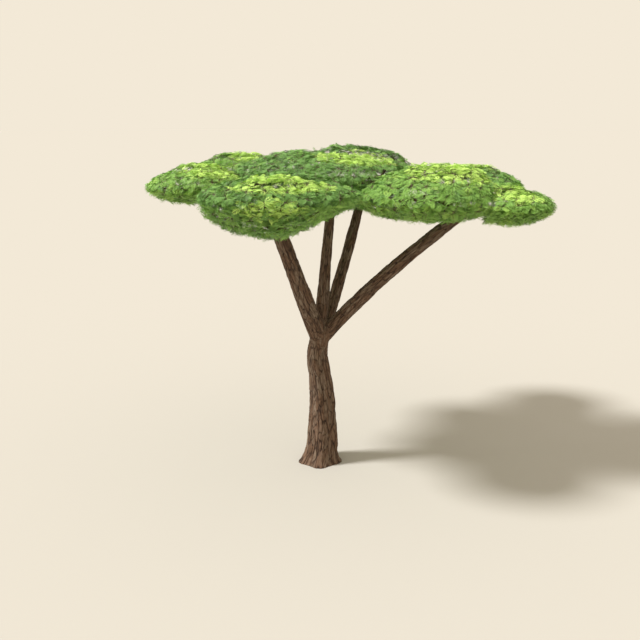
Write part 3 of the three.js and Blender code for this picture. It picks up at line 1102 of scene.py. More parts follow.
@dataclass
class Grower:
    """The growing rule of a mass, as its solid follows it, with more and finer twigs.

    The stem forks again and again, each time between two parts of the aims that it feeds. One part carries
    the twig on, and the other gets a twig of its own. The last stretch of a twig carries shoots.

    Attributes:
        skeleton: The tree that the mass grows on.
        finer: How many shoots stand for one spray of the solid.
        clump_size: How large the clumps of sprays are.
        hollow_depth: How deep the hollows between clumps are.
        hollow_width: How wide they are, as the value of the noise at their edge.
        rim_weight: How much denser the shoots are at the rim, which shows most.
        top_weight: How much denser they are on the upper half than on the lower one.
        inner_share: The share of shoots that end deep inside.
        top_depth: How deep under the upper skin shoots end, from and to.
        inner_depth: The same for the inner shoots.
        under_depth: The same for the lower skin.
        nearest: How near the middle a shoot may end, as a share of the way out.
        aim_margin: How far from the wall towards another mass a shoot ends.
        height_weight: How much more height counts than width where the aims are parted.
        lifts: How far a stretch's end is raised where something is in its way.
        tries: The shares of a stretch that are tried, one after the other.
        first_root: Where the first shoot of the last stretch stands.
        wander: How far a fork strays, as a share of the stretch.
        shoot_checks: Where a shoot is checked against the limbs.
    """

    skeleton: Skeleton
    finer: int = 15
    clump_size: float = 0.5
    hollow_depth: float = 0.09
    hollow_width: float = 0.18
    rim_weight: float = 0.7
    top_weight: float = 1.15
    inner_share: float = 0.15
    top_depth: tuple = (0.02, 0.085)
    inner_depth: tuple = (0.25, 0.6)
    under_depth: tuple = (0.045, 0.12)
    nearest: float = 0.4
    aim_margin: float = 0.012
    skin_steps: int = 200
    height_weight: float = 1.4
    twig_reach: float = 0.6
    last_reach: float = 0.7
    shoots_per_twig: int = 5
    end_radius: float = 0.0045
    checks: int = 5
    lifts: tuple = (0.0, 0.11, 0.22)
    tries: tuple = (1.0, 0.6, 0.3)
    first_root: float = 0.25
    wander: float = 0.1
    bend_reach: float = 0.42
    bend_steps: int = 3
    longest_shoot: float = 0.75
    shoot_checks: tuple = (0.35, 0.7, 1.0)

    def aims(self, mass: Mass, random: np.random.Generator) -> ndarray:
        """Deals out the places that the shoots are aimed at, on an even spiral.

        Args:
            mass: The mass.
            random: The seeded numbers.

        Returns:
            Rows of places, all in the mass's space.
        """
        count = mass.sprays * self.finer
        inner = int(count * self.inner_share)
        top_skin, under_skin = self.skin(mass, mass.rise), self.skin(mass, mass.drop)
        top_part = top_skin[-1] * self.top_weight / (top_skin[-1] * self.top_weight + under_skin[-1])
        top = int((count - inner) * top_part)
        places = []
        for number, skin, depths in (
            (top, top_skin, self.top_depth),
            (inner, under_skin, self.inner_depth),
            (count - inner - top, under_skin, self.under_depth),
        ):
            marks = (np.arange(number) + 0.5) / number * skin[-1]
            level = np.interp(marks, skin, np.linspace(0, 1, len(skin)))
            turns = np.arange(number) * GOLDEN_ANGLE
            reach = np.hypot(mass.long * np.cos(turns), mass.wide * np.sin(turns))
            rise = mass.rise if skin is top_skin else -mass.drop
            radius = np.hypot(reach * np.sqrt(1 - level**2), rise * level)
            depth = random.uniform(*depths, number) + self.hollows(mass, level, turns, rise)
            near = np.clip(1 - depth / radius, self.nearest, 1)
            out = near * np.sqrt(1 - level**2)
            plan = np.column_stack([
                mass.middle[0] + mass.long * out * np.cos(turns),
                mass.middle[1] + mass.wide * out * np.sin(turns),
            ])
            _, high, low = mass.skins(plan)
            edge = high if skin is top_skin else low
            height = mass.middle[2] + (edge - mass.middle[2]) * near * level / np.sqrt(1 - out**2)
            places.append(np.column_stack([plan, height]))
        places = np.concatenate(places)
        return places[self.skeleton.holds(mass, places, self.aim_margin)]

    def hollows(self, mass: Mass, level: ndarray, turns: ndarray, rise: float) -> ndarray:
        """Measures how far the hollows between clumps of sprays go in.

        Args:
            mass: The mass.
            level: How high over or under the rim each aim is, from 0 to 1.
            turns: Its direction round the middle.
            rise: How far the half that it is in rises from the rim, or drops where this is negative.

        Returns:
            The depth at each aim, in metres.
        """
        out = np.sqrt(1 - level**2)
        rights, backs = mass.long * out * np.cos(turns), mass.wide * out * np.sin(turns)
        places = np.column_stack([rights, backs, rise * level]) + mass.middle
        swell = [abs(noise.noise(Vector(place) / self.clump_size)) for place in places]
        return self.hollow_depth * np.clip(1 - np.array(swell) / self.hollow_width, 0, 1)

    def skin(self, mass: Mass, rise: float) -> ndarray:
        """Adds up the area of a half of a mass's skin, from its rim to its middle.

        Args:
            mass: The mass.
            rise: How far the half rises or drops from the rim.

        Returns:
            The area so far at even steps of height. It counts for more near the rim, which shows most.
        """
        level = np.linspace(0, 1, self.skin_steps)
        reach = (mass.long + mass.wide) / 2
        area = np.sqrt(rise**2 + (reach**2 - rise**2) * level**2) * (1 + self.rim_weight * (1 - level))
        return np.concatenate([[0.0], np.cumsum(area)])

    def parted(self, aims: ndarray) -> list:
        """Parts aims in two, across the way in which they spread most.

        Args:
            aims: Rows of places.

        Returns:
            The two parts.
        """
        spread = np.ptp(aims, axis=0) * [1, 1, self.height_weight]
        axis = int(np.argmax(spread))
        low = aims[:, axis] < aims[:, axis].mean()
        return [aims[low], aims[~low]]

    def free_end(self, mass: Mass, start: ndarray, end: ndarray, radius: float) -> ndarray | None:
        """Finds where a twig may end.

        Args:
            mass: The mass that it grows in.
            start: Where the twig comes from.
            end: Where it would end.
            radius: Its radius there.

        Returns:
            The place, or a place a little over it where something is in the way, or None.
        """
        shares = np.linspace(0, 1, self.checks + 1)[1:, None]
        for lift in self.lifts:
            raised = end + UP * lift
            places = start + (raised - start) * shares
            held = self.skeleton.holds(mass, places, radius).all()
            if held and self.skeleton.is_free(mass, places, radius).all():
                return raised
        return None

    def grow(self, mass: Mass, random: np.random.Generator) -> Growth:
        """Grows a mass.

        Args:
            mass: The mass.
            random: The seeded numbers.

        Returns:
            Its twigs and shoots.
        """
        aims = self.aims(mass, random)
        stem = self.skeleton.stems[mass.name]
        way = unit(stem.points[-1] - stem.points[0])
        grown = Growth(total=len(aims))
        waiting = [(stem.points[-1], way, part) for part in self.parted(aims)]
        while waiting:
            start, way, fed = waiting.pop()
            waiting += self.twig(mass, start, way, fed, random, grown)
        return self.trimmed(mass, grown)

    def bend(self, start: ndarray, way: ndarray, end: ndarray) -> list:
        """Bends a stretch of twig, so that it leaves its fork in the way that the wood before it went.

        Args:
            start: Where the stretch starts.
            way: The way of the wood before it.
            end: Where the stretch ends.

        Returns:
            The places after its start.
        """
        knee = start + way * self.bend_reach * np.linalg.norm(end - start)
        shares = np.linspace(0, 1, self.bend_steps + 1)[1:]
        return [(1 - t) ** 2 * start + 2 * t * (1 - t) * knee + t**2 * end for t in shares]

    def twig(
        self,
        mass: Mass,
        start: ndarray,
        way: ndarray,
        fed: ndarray,
        random: np.random.Generator,
        grown: Growth,
    ) -> list:
        """Grows one twig with its shoots.

        Args:
            mass: The mass that it grows in.
            start: The fork that it leaves.
            way: The way of the wood at that fork.
            fed: The aims that it feeds.
            random: The seeded numbers.
            grown: What has grown so far, which this twig is added to.

        Returns:
            The twigs that leave this one: the place and way of each fork, and the aims that it feeds.
        """
        hub_radius = mass.stem * mass.stem_taper

        def radius_for(load: float) -> float:
            """Gives the radius of a twig that feeds this many shoots."""
            return max(self.end_radius, hub_radius * math.sqrt(load / grown.total))

        points, radii, leaving = [start], [radius_for(len(fed))], []

        def carry_on(end: ndarray, radius: float) -> ndarray:
            """Carries the twig on to its next fork or its end.

            Args:
                end: The place.
                radius: Its radius there.

            Returns:
                The way that it goes there.
            """
            places = self.bend(points[-1], way, end)
            shares = np.linspace(0, 1, len(places) + 1)[1:]
            radii.extend(radii[-1] + (radius - radii[-1]) * shares)
            points.extend(places)
            return unit(points[-1] - points[-2])

        while len(fed) > self.shoots_per_twig:
            step = (fed.mean(axis=0) - points[-1]) * self.twig_reach
            step = step + (random.random(3) - 0.5) * 2 * self.wander * np.linalg.norm(step)
            here, radius = points[-1], radii[-1]
            ends = (self.free_end(mass, here, here + step * share, radius) for share in self.tries)
            fork = next((end for end in ends if end is not None), None)
            if fork is None:
                break
            parts = sorted(self.parted(fed), key=lambda part: unit(part.mean(axis=0) - fork) @ step)
            way = carry_on(fork, radius_for((len(fed) + len(parts[1])) / 2))
            leaving.append((fork, way, parts[0]))
            fed = parts[1]
        last = points[-1]
        step = (fed.mean(axis=0) - last) * self.last_reach
        ends = (self.free_end(mass, last, last + step * share, self.end_radius) for share in self.tries)
        end = next((end for end in ends if end is not None), None)
        if end is not None:
            first = len(points) - 1
            carry_on(end, self.end_radius)
            stretch = np.array(points[first:])
            marks = np.linspace(self.first_root, 1, len(fed)) * (len(stretch) - 1)
            roots = [np.interp(marks, range(len(stretch)), stretch[:, axis]) for axis in range(3)]
            fed = fed[np.argsort((fed - last) @ (end - last))]
            grown.roots.extend(np.column_stack(roots))
        else:
            grown.roots.extend([last] * len(fed))
        grown.tips.extend(fed)
        if len(points) > 1:
            grown.twigs.append(WoodPath(np.array(points), np.array(radii)))
        return leaving

    def trimmed(self, mass: Mass, grown: Growth) -> Growth:
        """Leaves out the shoots that would be too long or would touch a limb.

        Args:
            mass: The mass.
            grown: What it grew.

        Returns:
            The same growth with the shoots that stay.
        """
        roots, tips = np.array(grown.roots), np.array(grown.tips)
        lengths = np.linalg.norm(tips - roots, axis=1)
        kept = lengths < self.longest_shoot
        LOG.info(
            "%s: %d aims, %d shoots, %.2f m long on average, %d too long",
            mass.name, grown.total, len(roots), lengths.mean(), (~kept).sum(),
        )
        for share in self.shoot_checks:
            kept &= self.skeleton.is_free(mass, roots + (tips - roots) * share, 0)
        grown.roots, grown.tips = roots[kept], tips[kept]
        return grown


@dataclass
class Bark:
    """The bark of the trunk and boughs: one skin, melted together at the forks, with plates and furrows.

    Attributes:
        skeleton: The tree.
        voxel: The size of the skin's faces.
        outer_voxel: The same on the outer limbs.
        most_triangles: The most triangles that a piece may have.
        calm_rounds: How often the skin is smoothed everywhere.
        fork_rounds: How often it is smoothed at forks.
        fork_reach: Over what distance that fades out.
        fork_fade: Where it has faded out, in such distances from the fork.
        cut_reach: How near the ground a point counts as on it, when the skin is cut.
        flat_height: The same, when the relief is pressed in.
        cut_slope: How far a normal at the ground leans out where the relief still moves the bark.
        furrow_share: How deep the furrows go, as a share of the wood's radius.
        furrow_most: The deepest furrow.
        bend_pace: How fast the furrows bend, round the limb and along it.
        seam_pace: How fast the seams between limbs wander.
        lump_fading: How much weaker each finer layer of the lumps is.
        lump_ratio: How much finer each layer is.
        lump_layers: How many layers there are.
        seed: What the noise vectors start from, which would otherwise be the time.
    """

    skeleton: Skeleton
    seed: int = 7
    voxel: float = 0.0125
    outer_voxel: float = 0.01
    most_triangles: int = 190000
    limb_around: int = 20
    outer_around: int = 16
    calm_rounds: int = 5
    calm_weight: float = 0.6
    fork_rounds: int = 30
    fork_weight: float = 0.7
    fork_reach: float = 0.42
    fork_fade: float = 1.3
    cut_reach: float = 1e-5
    flat_height: float = 1e-4
    cut_slope: float = 0.3
    seam_pace: float = 6.0
    seam_wander: float = 0.12
    seam_reach: float = 0.5
    least_plain: float = 0.6
    grain_pace: float = 0.18
    furrow_share: float = 0.075
    furrow_most: float = 0.026
    furrow_wide: float = 0.2
    ridge_wide: float = 0.1
    ridge_long: float = 5.5
    ridge_wander: float = 0.35
    ridge_rise: float = 0.4
    least_ridge: float = 0.45
    ridge_growth: float = 2.0
    plate_share: float = 1.3
    crack_wide: float = 0.2
    crack_depth: float = 0.6
    lump_share: float = 0.045
    lump_length: float = 0.32
    lump_fading: float = 0.8
    lump_ratio: float = 2.0
    lump_layers: int = 3
    bend_pace: tuple = (4.0, 4.0, 1.5)
    batch: int = 8000

    def build(self, finish: Material) -> list:
        """Builds the two pieces of bark.

        Args:
            finish: The bark's material.

        Returns:
            The trunk with its boughs, and the outer limbs.
        """
        inner = [limb for limb in self.skeleton.limbs if limb.carrier == "trunk"]
        outer = [limb for limb in self.skeleton.limbs if limb.carrier != "trunk"]
        pieces = []
        for name, first, limbs in (("trunk_and_boughs", ["trunk"], inner), ("outer_limbs", [], outer)):
            nodes = first + [limb.name for limb in limbs]
            paths = [self.skeleton.paths[node] for node in nodes]
            stems = self.skeleton.stems
            paths += [stems[mass.name] for mass in self.skeleton.masses if mass.carrier in nodes]
            piece = self.melted(name, limbs)
            self.relief(piece, paths)
            piece = self.thinned(piece)
            piece.data.materials.clear()
            piece.data.materials.append(finish)
            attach(piece, "root")
            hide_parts(*nodes)
            pieces.append(piece)
        return pieces

    def melted(self, name: str, limbs: list) -> Object:
        """Melts limbs and the stems on them into one skin.

        Args:
            name: The piece's name.
            limbs: The limbs. Boughs bring the trunk with them.

        Returns:
            The piece, smoothed at its forks and cut flat at the ground.
        """
        carried = {limb.name for limb in limbs}
        skins = [self.skeleton.paths[limb.name].sweep(self.limb_around) for limb in limbs]
        stems = [mass for mass in self.skeleton.masses if mass.carrier in carried]
        skins += [self.skeleton.stems[mass.name].sweep(self.outer_around) for mass in stems]
        forks = [self.skeleton.tips[limb.name] for limb in limbs]
        if limbs[0].carrier == "trunk":
            skins.append(self.skeleton.trunk.skin())
            forks.append(np.array(self.skeleton.trunk.middles[-1]))
        points, faces, count = [], [], 0
        for skin_points, skin_faces in skins:
            points.append(skin_points)
            faces += [tuple(i + count for i in face) for face in skin_faces]
            count += len(skin_points)
        maker = mesh_object(name + "_maker", np.concatenate(points), faces)
        melt = maker.modifiers.new("melt", "REMESH")
        melt.mode = "VOXEL"
        melt.voxel_size = self.voxel if limbs[0].carrier == "trunk" else self.outer_voxel
        piece = settled(maker, name)
        self.calm(piece.data, np.array(forks))
        self.cut_flat(piece.data)
        return piece

    def calm(self, mesh: Mesh, forks: ndarray) -> None:
        """Smooths the skin a little everywhere, and much more near forks.

        Args:
            mesh: The skin.
            forks: The places of the forks.
        """
        places = coordinates(mesh)
        edges = np.empty(len(mesh.edges) * 2, dtype=int)
        mesh.edges.foreach_get("vertices", edges)
        edges = edges.reshape(-1, 2)
        count = np.bincount(edges.ravel(), minlength=len(places))[:, None]
        gap = np.linalg.norm(places[:, None] - forks, axis=2).min(axis=1)
        near = np.clip(self.fork_fade - gap / self.fork_reach, 0, 1)[:, None]
        for turn in range(self.fork_rounds):
            total = np.zeros_like(places)
            for axis in range(3):
                for one, other in (edges.T, edges.T[::-1]):
                    total[:, axis] += np.bincount(one, places[other, axis], minlength=len(places))
            everywhere = turn < self.calm_rounds
            weight = np.maximum(near, self.calm_weight) if everywhere else near * self.fork_weight
            places += (total / count - places) * weight
        move_points(mesh, places)

    def cut_flat(self, mesh: Mesh) -> None:
        """Cuts off what is under the ground and closes the cut.

        Args:
            mesh: The skin.
        """
        work = bmesh.new()
        work.from_mesh(mesh)
        everything = work.verts[:] + work.edges[:] + work.faces[:]
        plane = {"plane_co": (0, 0, 0), "plane_no": (0, 0, 1), "dist": self.cut_reach}
        cut = bmesh.ops.bisect_plane(work, geom=everything, clear_inner=True, **plane)
        rim = [part for part in cut["geom_cut"] if isinstance(part, bmesh.types.BMEdge)]
        if rim:
            bmesh.ops.contextual_create(work, geom=rim)
        bmesh.ops.triangulate(work, faces=[face for face in work.faces if len(face.verts) > 4])
        work.to_mesh(mesh)
        work.free()
        mesh.update()

    def relief(self, piece: Object, paths: list) -> None:
        """Presses ridges and furrows into the bark, which run along the limbs and flow together at forks.

        Args:
            piece: The skin.
            paths: The middle lines of the wood in it.
        """
        mesh = piece.data
        places = coordinates(mesh)
        size = len(places)
        normals = np.empty(size * 3)
        mesh.vertex_normals.foreach_get("vector", normals)
        normals = normals.reshape(-1, 3)
        radius, grain, plain = self.grain(places, paths)
        bends = grain * self.bend_pace
        depth = np.minimum(self.furrow_most, self.furrow_share * radius) * plain
        furrow = np.zeros(size)
        push = np.zeros(size)
        lumps = (self.lump_fading, self.lump_ratio, self.lump_layers)
        noise.seed_set(self.seed)
        for i in range(size):
            x, y, z = grain[i]
            wide = self.ridge_wide * min(1.0, self.least_ridge + radius[i] * self.ridge_growth)
            bend = noise.noise_vector(Vector(bends[i])) * self.ridge_wander
            across = Vector((x / wide + bend.x, y / wide + bend.y, z / (wide * self.ridge_long) + bend.z))
            deep = 1 - min(1.0, abs(noise.noise(across)) / self.furrow_wide)
            gaps, _ = noise.voronoi(across * self.plate_share)
            crack = 1 - min(1.0, (gaps[1] - gaps[0]) / self.crack_wide)
            furrow[i] = max(deep, crack * self.crack_depth)
            push[i] = noise.fractal(Vector((x, y, z)) / self.lump_length, *lumps)
        furrow = furrow * plain
        push = push * self.lump_share * radius * plain + depth * (self.ridge_rise - furrow)
        flat = places[:, 2] < self.flat_height
        normals[flat, 2] = 0
        push[flat & (np.linalg.norm(normals[:, :2], axis=1) < self.cut_slope)] = 0
        places += normals * push[:, None]
        places[:, 2] = np.maximum(places[:, 2], 0)
        places[flat, 2] = 0
        grain[:, 2] *= self.grain_pace
        keep_on_points(mesh, "furrow", "FLOAT", furrow)
        keep_on_points(mesh, "grain", "FLOAT_VECTOR", grain)
        keep_on_points(mesh, "plain", "FLOAT", plain)
        mesh.polygons.foreach_set("use_smooth", np.ones(len(mesh.polygons), dtype=bool))
        move_points(mesh, places)

    def grain(self, places: ndarray, paths: list) -> tuple[ndarray, ndarray, ndarray]:
        """Measures places round and along the nearest limb, and eases one limb into the next.

        Args:
            places: Rows of places on the bark.
            paths: The middle lines of the wood.

        Returns:
            The limb's mean radius, the place on a straight limb of that radius, and a share that falls a
            little below 1 between two limbs.
        """
        size = len(places)
        wander = [noise.noise(Vector(place) * self.seam_pace) for place in places]
        ragged = 1 + self.seam_wander * np.array(wander)
        scores = np.full((size, 2), np.inf)
        found = np.zeros((size, 2, 4))
        for number, path in enumerate(paths):
            along = path.along
            mean = path.radii.mean()
            begins = np.linalg.norm(path.points[0])
            ways, sides, overs = path.frames()
            for first in range(0, size, self.batch):
                part = slice(first, first + self.batch)
                gaps = np.linalg.norm(places[part, None] - path.points, axis=2)
                nearest = gaps.argmin(axis=1)
                offset = places[part] - path.points[nearest]
                x, y, step = ((offset * axes[nearest]).sum(axis=1) for axes in (sides, overs, ways))
                length = along[nearest] + step
                reach = np.maximum(np.hypot(x, y), LEAST_GAP)
                past = np.maximum(0, np.maximum(-length, length - along[-1]))
                score = np.hypot(reach, past) / np.interp(length, along, path.radii)
                score = score * ragged[part] if number else score
                here = np.column_stack([x / reach * mean, y / reach * mean, begins + length, 0 * x + mean])
                both = np.column_stack([scores[part], score])
                all_found = np.concatenate([found[part], here[:, None]], axis=1)
                order = np.argsort(both, axis=1)[:, :2]
                scores[part] = np.take_along_axis(both, order, axis=1)
                found[part] = np.take_along_axis(all_found, order[:, :, None], axis=1)
        ease = np.clip((scores[:, 1] / scores[:, 0] - 1) / self.seam_reach, 0, 1)
        ease = ease * ease * (3 - 2 * ease)
        eased = found[:, 0] + (found[:, 1] - found[:, 0]) * (0.5 - 0.5 * ease)[:, None]
        radius, grain = eased[:, 3], eased[:, :3].copy()
        return radius, grain, self.least_plain + (1 - self.least_plain) * ease

    def thinned(self, piece: Object) -> Object:
        """Thins the skin where it is even, down to the most triangles that a piece may have.

        Args:
            piece: The skin.

        Returns:
            The thinned skin.
        """
        faces = triangles(piece)
        if faces <= self.most_triangles:
            return piece
        thin = piece.modifiers.new("thin", "DECIMATE")
        thin.ratio = self.most_triangles / faces
        thin.use_collapse_triangulate = True
        piece = settled(piece, piece.name)
        places = coordinates(piece.data)
        places[:, 2] = np.maximum(places[:, 2], 0)
        move_points(piece.data, places)
        return piece


@dataclass
class LeafMaker:
    """Makes the leaf shapes: a midrib with pairs of narrow pinnae, one metre long before it is sized.

    Attributes:
        pinna_length: The length of the longest pinna.
        pinna_width: The width of a pinna, as a share of its length.
        rib_width: The width of the midrib at its foot.
        first_pair: Where the first pair of pinnae stands.
        pair_span: How far the last pair stands from the first.
        swell: The part of a half sine wave that sizes the pinnae: its start and its length.
        swell_power: How blunt that swell is.
        sweep: How much more the last pair points forward, as a share.
        fold_back: How much of its rise a pinna's tip loses.
        tip_drop: How far its tip hangs.
    """

    pinna_length: float = 0.48
    pinna_width: float = 0.31
    rib_width: float = 0.03
    rib_end: float = 0.96
    first_pair: float = 0.16
    pair_span: float = 0.8
    swell: tuple = (0.22, 0.62)
    swell_power: float = 0.8
    sweep: float = 0.35
    belly: float = 0.5
    fold_back: float = 0.3
    tip_drop: float = 0.04

    def forms(self) -> Collection:
        """Makes one object for each form of leaf.

        Returns:
            A collection of them, in the order of their names.
        """
        made = bpy.data.collections.new("leaf_forms")
        for number, form in enumerate(LeafForm):
            leaf = self.leaf(form)
            leaf.name = f"form_{number}"
            bpy.context.scene.collection.objects.unlink(leaf)
            made.objects.link(leaf)
        return made

    def leaf(self, form: LeafForm) -> Object:
        """Makes one leaf.

        Args:
            form: How its pinnae are held.

        Returns:
            The leaf, from its foot at the origin along X, face up.
        """
        pairs, spread, fold, droop = form.value
        points, faces = [], []

        def rib(x: float) -> ndarray:
            """Gives the place on the midrib this far along it."""
            return np.array([x, 0.0, -droop * x * x])

        half = self.rib_width / 2
        points += [rib(0) + [0, half, 0], rib(0) - [0, half, 0], rib(self.rib_end)]
        faces.append((0, 1, 2))
        steps = pairs - 1
        for pair in range(pairs):
            root = rib(self.first_pair + self.pair_span * pair / steps)
            turn = math.pi * (self.swell[0] + self.swell[1] * pair / steps)
            length = self.pinna_length * math.sin(turn) ** self.swell_power
            forward = math.radians(spread * (1 - self.sweep * pair / steps))
            for side in (1, -1):
                way = np.array([math.cos(forward), side * math.sin(forward), fold])
                across = np.array([-math.sin(forward), side * math.cos(forward), 0]) * side
                belly = root + way * length * self.belly
                tip = root + way * length - [0, 0, self.fold_back * fold * length + self.tip_drop]
                first = len(points)
                width = length * self.pinna_width / 2
                points += [root, belly - across * width, tip, belly + across * width]
                faces += [(first, first + 1, first + 2), (first, first + 2, first + 3)]
        return mesh_object("leaf", np.array(points), faces)


@dataclass
class Foliage:
    """The twigs and leaves of one mass.

    Attributes:
        skeleton: The tree.
        mass: The mass.
        growth: What it grew.
        leaves_per_shoot: How many leaves a shoot carries.
        leaf_length: The length of a leaf.
        leaf_sizes: The least and the greatest length, as shares of that.
        leaf_wander: How far a leaf strays along its shoot.
        leaf_turn: How far leaves turn away from their shoot, in degrees, from and to.
        turn_scatter: How far that strays, in degrees.
        face_out: How much a leaf faces out of its mass.
        face_up: How much it faces up.
        face_scatter: How far its face strays.
        check_share: Where a leaf is checked against the limbs, as a share of its length.
        wood_forms: How many sides and bends thick twigs, thin twigs and shoots have.
        shoot_taper: A shoot's radius at its foot, middle and tip, as a share.
        thorn_step: How many shoots there are for one with thorns.
        thorn_point: The radius of a thorn's tip, as a share of that at its foot.
    """

    skeleton: Skeleton
    mass: Mass
    growth: Growth
    leaves_per_shoot: int = 9
    leaf_length: float = 0.137
    leaf_sizes: tuple = (0.78, 1.15)
    leaf_wander: float = 0.08
    leaf_turn: tuple = (38, 78)
    turn_scatter: float = 8
    face_out: float = 0.6
    face_up: float = 0.55
    face_scatter: float = 0.33
    check_share: float = 0.6
    leaf_gap: float = 0.01
    first_leaf: float = 0.15
    # Below this share of the depth, leaves count as the lower half, which gets painted light.
    upper_depth: float = 0.5
    tone_spread: float = 0.38
    tuft_scatter: float = 0.03
    leaf_overlap: float = 0.05
    top_room: float = 0.012
    under_room: float = 0.03
    # The share of the tufts' leaves that get the FRESH green instead, also painted sunlight.
    fresh_on_cushions: float = 0.22
    thick_wood: float = 0.02
    wood_forms: tuple = ((6, 3), (4, 1), (3, 1))
    shoot_radius: float = 0.0042
    shoot_droop: float = 0.05
    shoot_taper: tuple = (1, 0.8, 0.45)
    thorn_place: tuple = (0.3, 0.6)
    thorn_lean: float = 0.35
    thorn_length: float = 0.05
    thorn_radius: float = 0.0022
    thorn_step: int = 2
    thorn_point: float = 0.1

    def wood(self, rule: RuleTree, finish: Material) -> Object:
        """Builds the mass's twigs and shoots.

        Args:
            rule: The tree that gives lines round wood.
            finish: The twigs' material.

        Returns:
            One joined piece that stands for the mass's solid.
        """
        thick = [twig for twig in self.growth.twigs if twig.radii[0] > self.thick_wood]
        thin = [twig for twig in self.growth.twigs if twig.radii[0] <= self.thick_wood]
        shoots = [self.shoot(root, tip) for root, tip in zip(self.growth.roots, self.growth.tips)]
        parts = []
        for lines, (sides, bends) in zip((thick, thin, shoots), self.wood_forms):
            if lines:
                maker = self.lines(lines)
                parts.append(rule.apply(maker, "wood", Sides=sides, Bends=bends, Material=finish))
        piece = joined(parts, f"twigs_{self.mass.name}")
        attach(piece, "root")
        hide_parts(f"foliage_{self.mass.name}")
        return piece

    def thorns(self, rule: RuleTree, finish: Material, seed: int) -> Object:
        """Builds the straight thorns, one pair on every second shoot.

        Args:
            rule: The tree that gives lines round wood.
            finish: The thorns' material.
            seed: The seed of this mass's thorns.

        Returns:
            One piece.
        """
        random = np.random.default_rng(seed)
        roots, tips = (np.array(ends)[:: self.thorn_step] for ends in (self.growth.roots, self.growth.tips))
        ways = unit(tips - roots)
        places = roots + (tips - roots) * random.uniform(*self.thorn_place, len(roots))[:, None]
        sides = unit(np.cross(ways, random.normal(0, 1, ways.shape)))
        thorns = []
        for turn in (1, -1):
            ends = places + unit(sides * turn + ways * self.thorn_lean) * self.thorn_length
            radii = self.thorn_radius * np.array([1, self.thorn_point])
            thorns += [WoodPath(np.array(both), radii) for both in zip(places, ends)]
        name = f"thorns_{self.mass.name}"
        sides, bends = self.wood_forms[-1]
        piece = rule.apply(self.lines(thorns), name, Sides=sides, Bends=bends, Material=finish)
        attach(piece, "root")
        return piece

    def shoot(self, root: ndarray, tip: ndarray) -> WoodPath:
        """Gives the line of a shoot, which rises a little and then levels out."""
        bow = (root + tip) / 2 + UP * self.shoot_droop * np.linalg.norm(tip - root)
        return WoodPath(np.array([root, bow, tip]), self.shoot_radius * np.array(self.shoot_taper))

    def lines(self, paths: list) -> Object:
        """Makes one object of lines, with the wood's thickness at each point.

        Args:
            paths: The lines.

        Returns:
            The object.
        """
        points = np.concatenate([path.points for path in paths])
        edges, count = [], 0
        for path in paths:
            edges += [(count + i, count + i + 1) for i in range(len(path.points) - 1)]
            count += len(path.points)
        made = mesh_object("lines", points, [], edges)
        keep_on_points(made.data, "thickness", "FLOAT", np.concatenate([path.radii for path in paths]))
        return made

    def tones(self, tips: ndarray, random: np.random.Generator) -> ndarray:
        """Deals a green to each shoot.

        Args:
            tips: Where the shoots end.
            random: The seeded numbers.

        Returns:
            The number of each shoot's tone.
        """
        _, top, bottom = self.mass.skins(tips)
        depth = (top - tips[:, 2]) / np.maximum(top - bottom, LEAST_GAP)
        upper = depth < self.upper_depth
        # Painted sunlight: leaves in the tufts get the palest greens.
        painted_sunlit = self.mass.is_young(tips + random.normal(0, self.tuft_scatter, tips.shape))
        light = np.full(len(tips), float(self.mass.tone.value))
        light += random.normal(0, self.tone_spread, len(tips))
        # Painted light: the shaded lower half of the mass gets lighter greens.
        light += np.where(upper, 0, self.mass.painted_light_below)
        light = np.minimum(light, Tone.FRESH.value)
        pale = Tone.YOUNG.value - (random.random(len(tips)) < self.fresh_on_cushions)
        light = np.where(painted_sunlit, pale, light)
        return np.clip(np.round(light), 0, len(Tone) - 1).astype(int)

    def leaves(self, rule: RuleTree, forms: Collection, finishes: dict, seed: int) -> list:
        """Sets leaves along every shoot.

        Args:
            rule: The tree that sets leaves on points.
            forms: The leaf shapes.
            finishes: The material of each tone.
            seed: The seed of this mass.

        Returns:
            One piece for each green that the mass has.
        """
        random = np.random.default_rng(seed)
        roots, tips = np.array(self.growth.roots), np.array(self.growth.tips)
        shoot_tones = self.tones(tips, random)
        each = self.leaves_per_shoot
        share = np.tile(np.linspace(self.first_leaf, 1, each), len(tips))
        share = np.clip(share + (random.random(len(share)) - 0.5) * self.leaf_wander, 0, 1)
        root, tip = np.repeat(roots, each, axis=0), np.repeat(tips, each, axis=0)
        length = np.linalg.norm(tip - root, axis=1)
        feet = root + (tip - root) * share[:, None]
        feet[:, 2] += 4 * share * (1 - share) * self.shoot_droop * length
        way = unit(tip - root)
        facing = self.mass.facing(tip)
        facing = np.where((facing[:, 2] < 0)[:, None], -facing, facing)
        stray = random.normal(0, self.face_scatter, (len(feet), 3))
        face = unit(facing * self.face_out + UP * self.face_up + stray)
        flat_way = unit(way - face * (way * face).sum(axis=1, keepdims=True))
        side = np.where(np.tile(np.arange(each) % 2, len(tips)) == 0, 1.0, -1.0)
        side[each - 1 :: each] = 0
        turn = side * np.radians(random.uniform(*self.leaf_turn, len(feet)))
        turn += np.radians(random.normal(0, self.turn_scatter, len(feet)))
        lean = flat_way * np.cos(turn)[:, None] + np.cross(face, flat_way) * np.sin(turn)[:, None]
        size = self.leaf_length * random.uniform(*self.leaf_sizes, len(feet))
        ends = feet + lean * size[:, None]
        kept = self.skeleton.holds(self.mass, ends, -self.leaf_overlap)
        _, top, bottom = self.mass.skins(ends)
        kept &= (ends[:, 2] < top - self.top_room) & (ends[:, 2] > bottom + self.under_room)
        checked = feet + lean * size[:, None] * self.check_share
        kept &= self.skeleton.is_free(self.mass, checked, self.leaf_gap)
        tone = np.repeat(shoot_tones, each)
        form = random.integers(0, len(LeafForm), len(feet))
        data_types = {"way": "FLOAT_VECTOR", "face": "FLOAT_VECTOR", "size": "FLOAT", "form": "INT"}
        pieces = []
